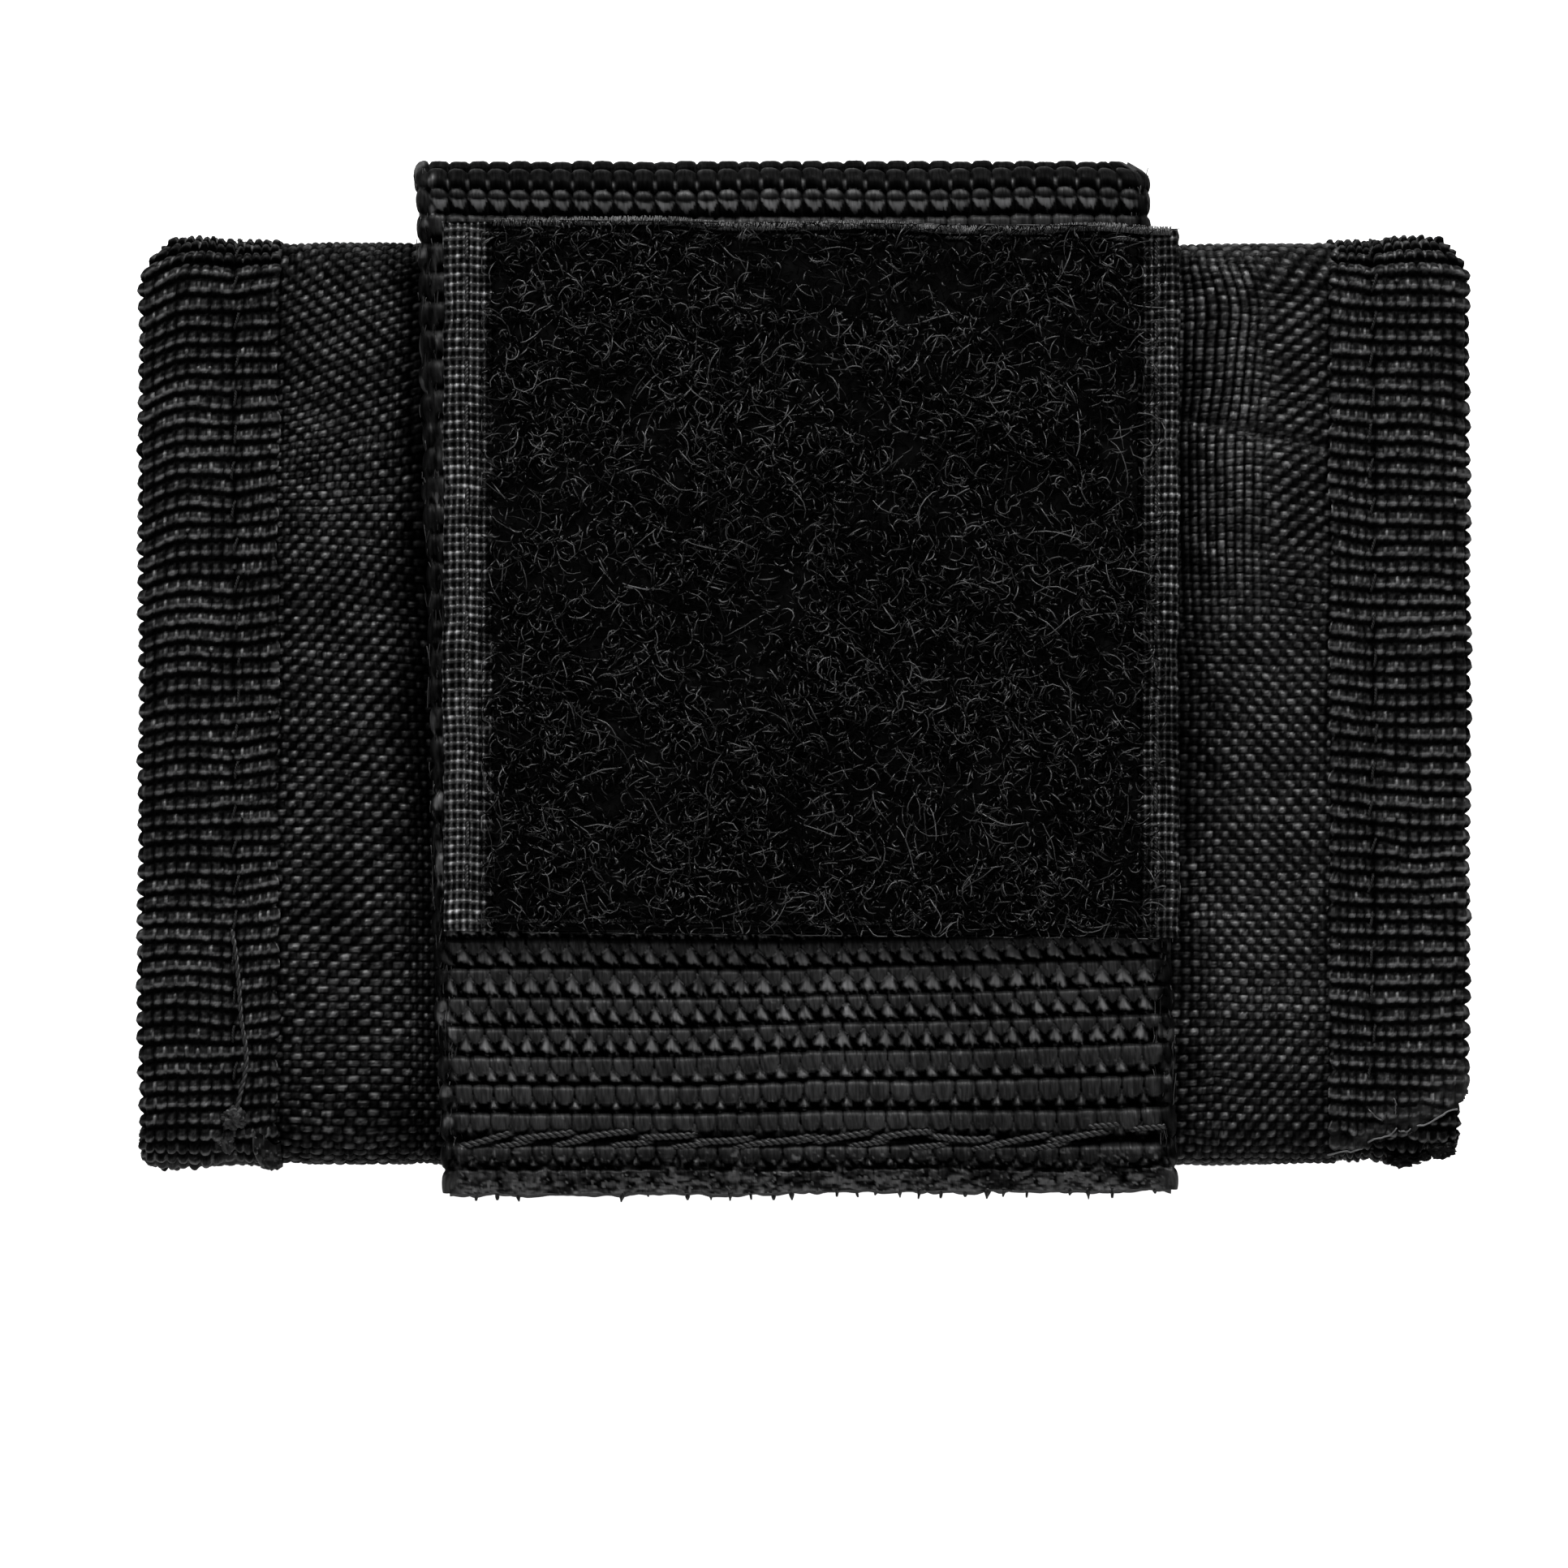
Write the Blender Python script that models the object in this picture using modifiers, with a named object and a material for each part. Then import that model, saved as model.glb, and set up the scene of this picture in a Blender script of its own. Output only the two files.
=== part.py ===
"""Packed compact tourniquet in its belt carrier.

A flat fabric sleeve with bound mouths holds a folded 50 mm windlass tourniquet.
A 50 mm elastic band runs down the front, over the top and along the back, where
it leaves a channel for a belt. The tourniquet leaves through the right mouth.

+X is towards the exit mouth, +Y towards the top fold, +Z out of the front face.
The origin lies on the back face, midway along and across the sleeve.
Sizes are in millimetres and are turned into metres as objects are made.
"""

import math

import bmesh
import bpy
from mathutils import Matrix, Vector

MM = 0.001

# Carrier
SLEEVE_HALF_X = 45.3
SLEEVE_HALF_Y = 31.8
SLEEVE_Z = (6.3, 23.4)
SLEEVE_WALL = 0.8
SLEEVE_RADIUS = 2.9
TAPE_WALL = 0.4
TAPE_GAP = 0.1
TAPE_X = (36.5, 46.1)
TAPE_SEAM_X = 39.4
BAND_WIDTH = 50.8
BAND_WALL = 1.7
BAND_TOP = 37.5
BAND_BOTTOM = -33.9
BAND_BACK_OF_FRONT_Z = 23.7
BAND_FACE_Z = BAND_BACK_OF_FRONT_Z + BAND_WALL
BAND_CENTRE_X = -0.5
BAND_SKEW = -0.0267  # sideways shift of the band for each mm up
BAND_REAR_LIFT = 4.4
SEAM_Y = -30.1
PANEL_X = (-24.9, 25.9)
PANEL_Y = (-16.0, 33.0)
PANEL_Z = BAND_FACE_Z + 0.2
PANEL_BACKING = 0.7
PANEL_PILE = 0.9
THREAD_RADIUS = 0.225
STITCH_LIFT = 0.05 + THREAD_RADIUS  # from the cloth to the thread's axis

# Tourniquet
STRAP_WIDTH = 50.0
STRAP_WALL = 0.8
STRAP_PITCH = 1.0
STRAP_LAYERS = 7
STRAP_HALF_X = 42.0
STRAP_Z = 7.9
STRAP_TOP = STRAP_Z + (STRAP_LAYERS - 1) * STRAP_PITCH + STRAP_WALL
PLATE_X = (-28.9, 41.4)
PLATE_HALF_Y = 24.0
PLATE_WALL = 1.0
PLATE_Z = STRAP_TOP + 0.15
PLATE_TOP = PLATE_Z + PLATE_WALL
WINDOW_RADIUS = 8.7
ROD_HALF = 28.0
ROD_RADIUS = 2.75
ROD_Z = PLATE_TOP + 0.3 + ROD_RADIUS
TIP_RADIUS = 1.7
TIP_START = 22.6
HUB_LENGTH, HUB_WIDTH = 16.0, 9.6
SLOT_LENGTH, SLOT_HEIGHT = 12.4, 1.5
KEEPER_X = (29.2, 37.2)
KEEPER_BORE_RADIUS = 2.1
BUCKLE_X = (-43.0, -30.6)
BUCKLE_HALF_Y = 28.6
BUCKLE_WALL = 2.4
BUCKLE_BORDER_X = 2.0
BUCKLE_BORDER_Y = 2.9
BUCKLE_Z = STRAP_TOP + 1.0
TAB_X = 44.7
TAB_WALL = 1.3
TAB_HALF_Y = 23.0
TAB_Z = (STRAP_Z + 0.35, SLEEVE_Z[1] - SLEEVE_WALL - TAPE_WALL - 0.9)
TAB_PIVOT_Z = 9.1

SMOOTH_ANGLE = math.radians(35)

# A flat outline is drawn in local XY; these turn it into the world's YZ or XZ plane.
TO_YZ = Matrix(((0, 0, 1), (1, 0, 0), (0, 1, 0))).to_4x4()
TO_XZ = Matrix(((1, 0, 0), (0, 0, -1), (0, 1, 0))).to_4x4()
TO_XY = Matrix.Identity(4)

for old in list(bpy.data.objects):
    bpy.data.objects.remove(old, do_unlink=True)

part = bpy.data.collections.new("packed_tourniquet")
bpy.context.scene.collection.children.link(part)
cutters = bpy.data.collections.new("cutters")
cutters.hide_render = True
bpy.context.scene.collection.children.link(cutters)


# ---------------------------------------------------------------- materials
def material(name, colour, roughness, metallic=0.0):
    made = bpy.data.materials.new(name)
    made.use_nodes = True
    shader = made.node_tree.nodes["Principled BSDF"]
    shader.inputs["Base Color"].default_value = (*colour, 1)
    shader.inputs["Roughness"].default_value = roughness
    shader.inputs["Metallic"].default_value = metallic
    return made


pack_cloth = material("pack_cloth", colour=(0.012, 0.012, 0.013), roughness=0.6)
binding = material("binding", colour=(0.012, 0.012, 0.013), roughness=0.55)
elastic = material("elastic", colour=(0.014, 0.014, 0.015), roughness=0.5)
loop_pile = material("loop_pile", colour=(0.006, 0.006, 0.006), roughness=0.8)
thread = material("thread", colour=(0.02, 0.02, 0.021), roughness=0.5)
webbing = material("webbing", colour=(0.016, 0.016, 0.017), roughness=0.6)
polymer = material("polymer", colour=(0.018, 0.018, 0.019), roughness=0.45)
alloy = material("alloy", colour=(0.09, 0.09, 0.095), roughness=0.35, metallic=1.0)
label_white = material("label_white", colour=(0.78, 0.78, 0.75), roughness=0.6)
tab_red = material("tab_red", colour=(0.45, 0.02, 0.015), roughness=0.6)


# ------------------------------------------------------- spans and flat shapes
def middle(span):
    return sum(span) / 2


def both_ways(half, centre=0.0):
    """The span reaching half to each side of centre."""
    return (centre - half, centre + half)


def inset(span, amount):
    return (span[0] + amount, span[1] - amount)


def mirrored(span, sign):
    return tuple(sorted(sign * end for end in span))


def arc(centre, radius, start, end, steps):
    """Points on a circle from the start angle to the end angle, in degrees."""
    angles = [math.radians(start + (end - start) * i / steps) for i in range(steps + 1)]
    return [
        (centre[0] + radius * math.cos(angle), centre[1] + radius * math.sin(angle))
        for angle in angles
    ]


def rounded(x_span, y_span, radius, steps=6):
    """A rectangle with rounded corners, each divided into steps."""
    left, right = inset(x_span, radius)
    low, high = inset(y_span, radius)
    points = []
    for corner, start in (
        ((right, low), -90),
        ((right, high), 0),
        ((left, high), 90),
        ((left, low), 180),
    ):
        points += arc(corner, radius, start, start + 90, steps)
    return points


def sleeve_section(grow, steps=6):
    """The sleeve's outer cross-section in YZ, moved outwards by grow."""
    return rounded(
        both_ways(SLEEVE_HALF_Y + grow), inset(SLEEVE_Z, -grow), SLEEVE_RADIUS + grow, steps
    )


def thicken(path, wall):
    """The outline of a strip of this thickness along an open path."""
    points = [Vector(point) for point in path]
    left, right = [], []
    for i, here in enumerate(points):
        if 0 < i < len(points) - 1:
            before = (here - points[i - 1]).normalized()
            after = (points[i + 1] - here).normalized()
            way = (before + after).normalized()
            # Offset further at a bend, so that the wall keeps its thickness.
            stretch = 1 / math.sqrt((1 + before.dot(after)) / 2)
        else:
            first = max(i - 1, 0)
            way = (points[first + 1] - points[first]).normalized()
            stretch = 1.0
        side = Vector((-way.y, way.x)) * wall / 2 * stretch
        left.append(tuple(here + side))
        right.append(tuple(here - side))
    return left + right[::-1]


# ---------------------------------------------------------- object builders
def move_to(obj, home):
    for old_home in list(obj.users_collection):
        old_home.objects.unlink(obj)
    home.objects.link(obj)
    if home is cutters:
        obj.hide_render = True
        obj.display_type = "WIRE"


def finish(obj, look):
    obj.data.materials.append(look)


def curve(name, dimensions, loops, cyclic):
    """Curve data with one straight-sided spline through each loop of 3D points."""
    data = bpy.data.curves.new(name, "CURVE")
    data.dimensions = dimensions
    for loop in loops:
        spline = data.splines.new("POLY")
        spline.points.add(len(loop) - 1)
        for point, place in zip(spline.points, loop):
            point.co = (*(Vector(place) * MM), 1)
        spline.use_cyclic_u = cyclic
    return data


def outline(name, loops, turn, span, home=part):
    """A closed outline, further loops being holes, extruded over a span of its normal."""
    flat = [[(x, y, 0) for x, y in loop] for loop in loops]
    data = curve(name, "2D", flat, cyclic=True)
    data.fill_mode = "BOTH"
    data.extrude = (span[1] - span[0]) / 2 * MM
    obj = bpy.data.objects.new(name, data)
    move_to(obj, home)
    obj.matrix_world = turn @ Matrix.Translation((0, 0, middle(span) * MM))
    return obj


def mesh_outline(name, loops, turn, span, home=part):
    """An outline turned into a welded mesh, which Booleans can cut."""
    drawn = outline(name, loops, turn, span, home)
    bpy.context.view_layer.update()
    evaluated = drawn.evaluated_get(bpy.context.evaluated_depsgraph_get())
    mesh = bpy.data.meshes.new_from_object(evaluated)
    work = bmesh.new()
    work.from_mesh(mesh)
    bmesh.ops.remove_doubles(work, verts=work.verts, dist=1e-6)
    bmesh.ops.recalc_face_normals(work, faces=work.faces)
    work.to_mesh(mesh)
    work.free()
    place = drawn.matrix_world.copy()
    bpy.data.objects.remove(drawn, do_unlink=True)
    obj = bpy.data.objects.new(name, mesh)
    move_to(obj, home)
    obj.matrix_world = place
    return obj


def cord(name, points, radius=THREAD_RADIUS, cyclic=False):
    """A sewing thread: a round cord through the given points."""
    data = curve(name, "3D", [points], cyclic)
    data.bevel_depth = radius * MM
    data.bevel_resolution = 1
    data.use_fill_caps = not cyclic
    data.twist_mode = "MINIMUM"
    obj = bpy.data.objects.new(name, data)
    move_to(obj, part)
    finish(obj, thread)


def box(name, x_span, y_span, z_span, home=part):
    bpy.ops.mesh.primitive_cube_add(size=1)
    obj = bpy.context.active_object
    obj.name = name
    spans = (x_span, y_span, z_span)
    size = [(high - low) * MM for low, high in spans]
    obj.data.transform(Matrix.Diagonal((*size, 1)))
    obj.location = [middle(span) * MM for span in spans]
    move_to(obj, home)
    return obj


def round_cutter(name, radius, depth, place, along_x=False, vertices=32):
    """A cylinder for cutting, along Z unless along_x is set."""
    bpy.ops.mesh.primitive_cylinder_add(
        radius=radius * MM, depth=depth * MM, vertices=vertices
    )
    obj = bpy.context.active_object
    obj.name = name
    if along_x:
        obj.rotation_euler = (0, math.pi / 2, 0)
    obj.location = Vector(place) * MM
    move_to(obj, cutters)
    return obj


def boolean(obj, other, operation):
    modifier = obj.modifiers.new(f"{operation.lower()}_{other.name}", "BOOLEAN")
    modifier.operation = operation
    modifier.object = other
    modifier.solver = "EXACT"


def bevel(obj, width, segments=2):
    modifier = obj.modifiers.new("edges", "BEVEL")
    modifier.width = width * MM
    modifier.segments = segments
    modifier.limit_method = "ANGLE"
    modifier.angle_limit = SMOOTH_ANGLE


# ---------------------------------------------------------------- carrier
def build_sleeve():
    loops = [sleeve_section(0), sleeve_section(-SLEEVE_WALL)]
    finish(outline("sleeve_shell", loops, TO_YZ, both_ways(SLEEVE_HALF_X)), pack_cloth)
    seam_half = TAPE_X[0] - 0.8
    seam_y = -SLEEVE_HALF_Y - STITCH_LIFT
    seam_z = SLEEVE_Z[1] - 4.2
    cord("sleeve_bottom_seam", [(-seam_half, seam_y, seam_z), (seam_half, seam_y, seam_z)])


def build_edge_binding(side, sign):
    """Tape folded over the sleeve's mouth, inside and out, with a seam around it."""
    tape_outside = TAPE_GAP + TAPE_WALL
    tape = mesh_outline(
        f"edge_binding_{side}",
        [sleeve_section(tape_outside), sleeve_section(-SLEEVE_WALL - tape_outside)],
        TO_YZ,
        mirrored(TAPE_X, sign),
    )
    # The groove leaves room for the sleeve's wall and stops short of the fold.
    groove_x = (TAPE_X[0] - 1.0, TAPE_X[1] - TAPE_WALL - 0.15)
    groove = mesh_outline(
        f"groove_{side}",
        [sleeve_section(TAPE_GAP), sleeve_section(-SLEEVE_WALL - TAPE_GAP)],
        TO_YZ,
        mirrored(groove_x, sign),
        cutters,
    )
    boolean(tape, groove, "DIFFERENCE")
    finish(tape, binding)
    section = sleeve_section(tape_outside + STITCH_LIFT, steps=5)
    seam = [(sign * TAPE_SEAM_X, y, z) for y, z in section]
    cord(f"binding_thread_{side}", seam, cyclic=True)


def build_band():
    """Front run, over the top, back run, then in to the sleeve's lower back."""
    front = BAND_BACK_OF_FRONT_Z + BAND_WALL / 2
    rear = BAND_WALL / 2
    turn_radius = 2.0
    turn_y = BAND_TOP - BAND_WALL / 2 - turn_radius
    ramp_start, ramp_length, ramp_steps = -17, 11, 8
    # (y, z) along the middle of the band's thickness
    path = [(BAND_BOTTOM, front), (-20, front), (0, front)]
    path += arc((turn_y, front - turn_radius), turn_radius, 90, 0, 8)
    path += arc((turn_y, rear + turn_radius), turn_radius, 0, -90, 8)
    path.append((0, rear))
    for i in range(ramp_steps + 1):
        share = i / ramp_steps
        ease = 3 * share**2 - 2 * share**3
        path.append((ramp_start - ramp_length * share, rear + BAND_REAR_LIFT * ease))
    path.append((BAND_BOTTOM + 0.6, rear + BAND_REAR_LIFT))
    band = mesh_outline(
        "elastic_band", [thicken(path, BAND_WALL)], TO_YZ, both_ways(BAND_WIDTH / 2)
    )
    # The skew goes into the mesh, which leaves the object's own axes untouched.
    skew = Matrix.Identity(4)
    skew[0][1] = BAND_SKEW
    shift = Matrix.Translation((BAND_CENTRE_X * MM, 0, 0))
    band.data.transform(shift @ skew @ band.matrix_world)
    band.matrix_world = Matrix.Identity(4)
    finish(band, elastic)


def build_band_seams():
    seam_x = both_ways(BAND_WIDTH / 2 - 0.8, BAND_CENTRE_X + BAND_SKEW * SEAM_Y)
    for side, y, z in (
        ("front", SEAM_Y, BAND_FACE_Z + STITCH_LIFT),
        ("rear", SEAM_Y - 1, BAND_REAR_LIFT - STITCH_LIFT),
    ):
        cord(f"band_{side}_seam", [(x, y, z) for x in seam_x])


def build_loop_panel():
    """A backing with a raised block of pile, stitched around its border."""
    backing_top = PANEL_Z + PANEL_BACKING
    panel = box("loop_panel", PANEL_X, PANEL_Y, (PANEL_Z, backing_top))
    pile = box(
        "pile_block",
        inset(PANEL_X, 3.0),
        inset(PANEL_Y, 1.6),
        (PANEL_Z + 0.2, backing_top + PANEL_PILE),
        cutters,
    )
    boolean(panel, pile, "UNION")
    bevel(panel, 0.25, segments=1)
    finish(panel, loop_pile)
    seam = rounded(inset(PANEL_X, 1.6), inset(PANEL_Y, 0.8), radius=0.6, steps=3)
    seam_z = backing_top + STITCH_LIFT
    cord("loop_panel_thread", [(x, y, seam_z) for x, y in seam], cyclic=True)


# ------------------------------------------------------------- tourniquet
def build_strap():
    """Webbing folded to and fro; it starts at the exit mouth, nearest the back."""
    fold_x = STRAP_HALF_X - STRAP_PITCH / 2
    fold_radius = STRAP_PITCH / 2
    first_z = STRAP_Z + STRAP_WALL / 2
    path = [(STRAP_HALF_X + 0.9, first_z)]
    for layer in range(STRAP_LAYERS):
        z = first_z + layer * STRAP_PITCH
        sign = -1 if layer % 2 == 0 else 1
        end = fold_x * sign
        path += [(0.0, z), (end, z)]
        if layer < STRAP_LAYERS - 1:
            path += arc((end, z + fold_radius), fold_radius, -90, -90 + 180 * sign, 6)[1:]
    strap = outline(
        "main_strap", [thicken(path, STRAP_WALL)], TO_XZ, both_ways(STRAP_WIDTH / 2)
    )
    finish(strap, webbing)


def build_base_plate():
    """Plate with a round window for the ribbon and a rail to each side of the keeper."""
    plate = mesh_outline(
        "base_plate",
        [rounded(PLATE_X, both_ways(PLATE_HALF_Y), radius=5.0)],
        TO_XY,
        (PLATE_Z, PLATE_TOP),
    )
    window = round_cutter("ribbon_window", WINDOW_RADIUS, depth=4, place=(0, 0, PLATE_Z))
    boolean(plate, window, "DIFFERENCE")
    rail_x = (29.4, 39.6)
    rail_y = 6.1
    rail_half_width = 0.6
    rail_z = (PLATE_Z + 0.3, PLATE_TOP + 2.2)
    for side, sign in (("low", -1), ("high", 1)):
        y_span = both_ways(rail_half_width, sign * rail_y)
        rail = box(f"keeper_rail_{side}", rail_x, y_span, rail_z, cutters)
        boolean(plate, rail, "UNION")
    finish(plate, polymer)


def build_bartacks():
    """A zigzag of thread across the plate near each end."""
    half_width, half_length, stitches = 0.55, 20, 26
    for end, x in (("rear", -25.8), ("front", 26.2)):
        zigzag = [
            (
                x + (half_width if i % 2 else -half_width),
                -half_length + 2 * half_length * i / stitches,
                PLATE_TOP + 0.14,
            )
            for i in range(stitches + 1)
        ]
        cord(f"bartack_plate_{end}", zigzag, radius=0.11)


def build_label():
    z_span = (PLATE_TOP + 0.04, PLATE_TOP + 0.2)
    finish(box("time_label", (-22.0, -6.0), (10.0, 21.5), z_span), label_white)


def rod_profile():
    """(x, radius) from the +X tip to the -X tip."""
    tip_round = 0.9
    groove_count, groove_pitch, groove_width, groove_depth = 4, 2.6, 0.9, 0.4
    profile = [(ROD_HALF, 0.0)]
    for angle in (72, 45, 20, 0):
        turn = math.radians(angle)
        profile.append(
            (
                ROD_HALF - tip_round + tip_round * math.sin(turn),
                TIP_RADIUS - tip_round + tip_round * math.cos(turn),
            )
        )
    # The shoulder from the narrow tip up to the grip.
    profile += [
        (TIP_START + 0.9, TIP_RADIUS),
        (TIP_START, ROD_RADIUS - 0.35),
        (TIP_START - 0.5, ROD_RADIUS),
    ]
    for i in range(groove_count):
        x = TIP_START - 2.0 - i * groove_pitch
        profile += [
            (x, ROD_RADIUS),
            (x - groove_width / 2, ROD_RADIUS - groove_depth),
            (x - groove_width, ROD_RADIUS),
        ]
    return profile + [(-x, radius) for x, radius in reversed(profile)]


def build_rod():
    """Windlass: a turned grip with narrow tips, a flat hub and a slot for the ribbon."""
    points = [(x * MM, 0, radius * MM) for x, radius in rod_profile()]
    data = bpy.data.meshes.new("windlass_rod")
    data.from_pydata(points, [(i, i + 1) for i in range(len(points) - 1)], [])
    rod = bpy.data.objects.new("windlass_rod", data)
    move_to(rod, part)
    rod.location = (0, 0, ROD_Z * MM)
    screw = rod.modifiers.new("turned", "SCREW")
    screw.axis = "X"
    screw.angle = math.tau
    screw.steps = screw.render_steps = 20
    screw.use_merge_vertices = True
    screw.merge_threshold = 0.00001
    screw.use_normal_calculate = True
    hub = box(
        "rod_hub",
        both_ways(HUB_LENGTH / 2),
        both_ways(HUB_WIDTH / 2),
        both_ways(ROD_RADIUS - 0.05, ROD_Z),
        cutters,
    )
    bevel(hub, 0.9)
    boolean(rod, hub, "UNION")
    slot = box(
        "ribbon_slot",
        both_ways(SLOT_LENGTH / 2),
        both_ways(9),
        both_ways(SLOT_HEIGHT / 2, ROD_Z),
        cutters,
    )
    boolean(rod, slot, "DIFFERENCE")
    finish(rod, alloy)


def build_ribbon():
    """The tension ribbon passes through the slot and back along both sides of the hub."""
    reach = HUB_WIDTH / 2 + 0.15 + 0.4
    foot_z = PLATE_Z + 0.35
    leg_z = ROD_Z - 1.2
    bend = 0.9
    # (y, z) along the middle of the ribbon's thickness
    path = [(-reach - 0.1, foot_z), (-reach, leg_z)]
    path += arc((-reach + bend, ROD_Z - bend), bend, 180, 90, 5)
    path += arc((reach - bend, ROD_Z - bend), bend, 90, 0, 5)
    path += [(reach, leg_z), (reach + 0.1, foot_z)]
    finish(outline("tension_ribbon", [thicken(path, 0.7)], TO_YZ, both_ways(5.6)), webbing)


def build_keeper():
    """Block between the rails, just past the rod's +X tip, bored in line with the rod."""
    keeper = box("rod_keeper", KEEPER_X, both_ways(5.2), (PLATE_TOP + 0.2, ROD_Z + 2.75))
    bevel(keeper, 0.7)
    bore = round_cutter(
        "keeper_bore",
        KEEPER_BORE_RADIUS,
        depth=14,
        place=(middle(KEEPER_X), 0, ROD_Z),
        along_x=True,
        vertices=24,
    )
    boolean(keeper, bore, "DIFFERENCE")
    finish(keeper, polymer)


def build_buckle_frame():
    """Routing buckle: a frame with a groove at each Y end for the floating bar."""
    opening = rounded(
        inset(BUCKLE_X, BUCKLE_BORDER_X),
        both_ways(BUCKLE_HALF_Y - BUCKLE_BORDER_Y),
        radius=0.6,
        steps=2,
    )
    frame = mesh_outline(
        "buckle_frame",
        [rounded(BUCKLE_X, both_ways(BUCKLE_HALF_Y), radius=2.2), opening],
        TO_XY,
        (BUCKLE_Z, BUCKLE_Z + BUCKLE_WALL),
    )
    groove_x = (BUCKLE_X[0] + 2.6, BUCKLE_X[1] - 3.4)
    groove_y = (BUCKLE_HALF_Y - 3.6, BUCKLE_HALF_Y - 1.4)
    groove_z = (BUCKLE_Z + 0.7, BUCKLE_Z + 1.8)
    for side, sign in (("low", -1), ("high", 1)):
        y_span = mirrored(groove_y, sign)
        groove = box(f"bar_groove_{side}", groove_x, y_span, groove_z, cutters)
        boolean(frame, groove, "DIFFERENCE")
    finish(frame, polymer)


def build_buckle_bar():
    """Floating bar, with a thin tongue that reaches into both grooves."""
    bar = box(
        "buckle_bar",
        (BUCKLE_X[0] + 2.8, BUCKLE_X[0] + 5.0),
        both_ways(25.5),
        (BUCKLE_Z + 0.15, BUCKLE_Z + 2.25),
    )
    bevel(bar, 0.45)
    tongue = box(
        "bar_tongue",
        (BUCKLE_X[0] + 3.1, BUCKLE_X[0] + 4.7),
        both_ways(26.9),
        (BUCKLE_Z + 0.9, BUCKLE_Z + 1.6),
        cutters,
    )
    boolean(bar, tongue, "UNION")
    finish(bar, alloy)


def build_buckle_anchor():
    """A short loop of webbing around the +X side of the buckle's frame."""
    wall = 0.6
    edge_x = BUCKLE_X[1]
    tail_x = edge_x + 1.4
    under_z = STRAP_TOP + 0.15 + wall / 2
    bend_centre = (edge_x - BUCKLE_BORDER_X - 0.1, BUCKLE_Z + BUCKLE_WALL / 2)
    # (x, z) along the middle of the webbing's thickness
    path = [(tail_x, under_z), (edge_x - 0.4, under_z)]
    path += arc(bend_centre, BUCKLE_WALL / 2 + 0.5, 270, 90, 8)
    path += [(edge_x + 0.25, BUCKLE_Z + BUCKLE_WALL + 0.5), (tail_x, BUCKLE_Z + 1.4)]
    finish(outline("buckle_anchor", [thicken(path, wall)], TO_XZ, both_ways(24.6)), webbing)


def build_pull_tab():
    """Tab in the exit mouth; it hinges near its rear edge and swings out to be gripped."""
    pivot = bpy.data.objects.new("pull_tab_pivot", None)
    pivot.location = (TAB_X * MM, 0, TAB_PIVOT_Z * MM)
    move_to(pivot, part)
    tab = mesh_outline(
        "pull_tab",
        [rounded(both_ways(TAB_HALF_Y), TAB_Z, radius=1.6, steps=3)],
        TO_YZ,
        both_ways(TAB_WALL / 2, TAB_X),
    )
    tab.parent = pivot
    # The pivot's world matrix must be current before it is inverted.
    bpy.context.view_layer.update()
    tab.matrix_parent_inverse = pivot.matrix_world.inverted()
    bevel(tab, 0.35)
    finish(tab, tab_red)
    seam_radius = 0.12
    seam_x = TAB_X + TAB_WALL / 2 + 0.03 + seam_radius
    seam = [(seam_x, y, TAB_Z[1] - 4.4) for y in both_ways(TAB_HALF_Y - 2.5)]
    cord("pull_tab_thread", seam, seam_radius)


def shade_meshes():
    """Smooth shading with sharp creases; the rod is still a bare profile here."""
    for obj in part.objects:
        if obj.type == "MESH" and obj.data.polygons:
            obj.data.shade_smooth()
            obj.data.set_sharp_from_angle(angle=SMOOTH_ANGLE)


build_sleeve()
build_edge_binding("left", -1)
build_edge_binding("right", 1)
build_band()
build_band_seams()
build_loop_panel()

build_strap()
build_base_plate()
build_bartacks()
build_label()
build_rod()
build_ribbon()
build_keeper()
build_buckle_frame()
build_buckle_bar()
build_buckle_anchor()
build_pull_tab()

shade_meshes()
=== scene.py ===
"""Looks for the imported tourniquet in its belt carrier.

The sleeve runs along X between its two open mouths, Y points up its front and Z points out of
the front. The elastic band goes round the middle of the sleeve and carries the loop panel.
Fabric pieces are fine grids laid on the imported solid's outline and raised into their own yarns.
Lengths are in millimetres until a mesh is made; the stage is in metres.
"""

import math

import bpy
import numpy as np
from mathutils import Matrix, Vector


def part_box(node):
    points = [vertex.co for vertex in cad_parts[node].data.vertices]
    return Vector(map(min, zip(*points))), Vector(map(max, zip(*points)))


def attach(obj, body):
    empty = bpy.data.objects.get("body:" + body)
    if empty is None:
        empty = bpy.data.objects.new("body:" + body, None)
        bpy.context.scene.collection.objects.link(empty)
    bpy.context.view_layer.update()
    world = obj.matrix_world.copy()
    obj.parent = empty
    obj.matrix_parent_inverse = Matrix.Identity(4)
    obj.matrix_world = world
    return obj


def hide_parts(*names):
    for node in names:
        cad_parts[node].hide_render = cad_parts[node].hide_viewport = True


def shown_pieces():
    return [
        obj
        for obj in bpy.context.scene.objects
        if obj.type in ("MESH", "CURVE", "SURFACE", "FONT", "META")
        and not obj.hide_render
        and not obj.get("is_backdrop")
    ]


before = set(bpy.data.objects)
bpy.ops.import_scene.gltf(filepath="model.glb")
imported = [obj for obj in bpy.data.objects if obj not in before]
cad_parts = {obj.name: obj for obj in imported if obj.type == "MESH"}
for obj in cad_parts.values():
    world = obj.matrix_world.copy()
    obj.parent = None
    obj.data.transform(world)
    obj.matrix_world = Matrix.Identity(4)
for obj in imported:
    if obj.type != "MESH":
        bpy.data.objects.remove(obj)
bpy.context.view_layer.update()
MM = 0.001
TAU = math.tau
FACES = 95000  # most faces in one mesh
X_AXIS, Y_AXIS, Z_AXIS = np.eye(3)
scene = bpy.context.scene


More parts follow.
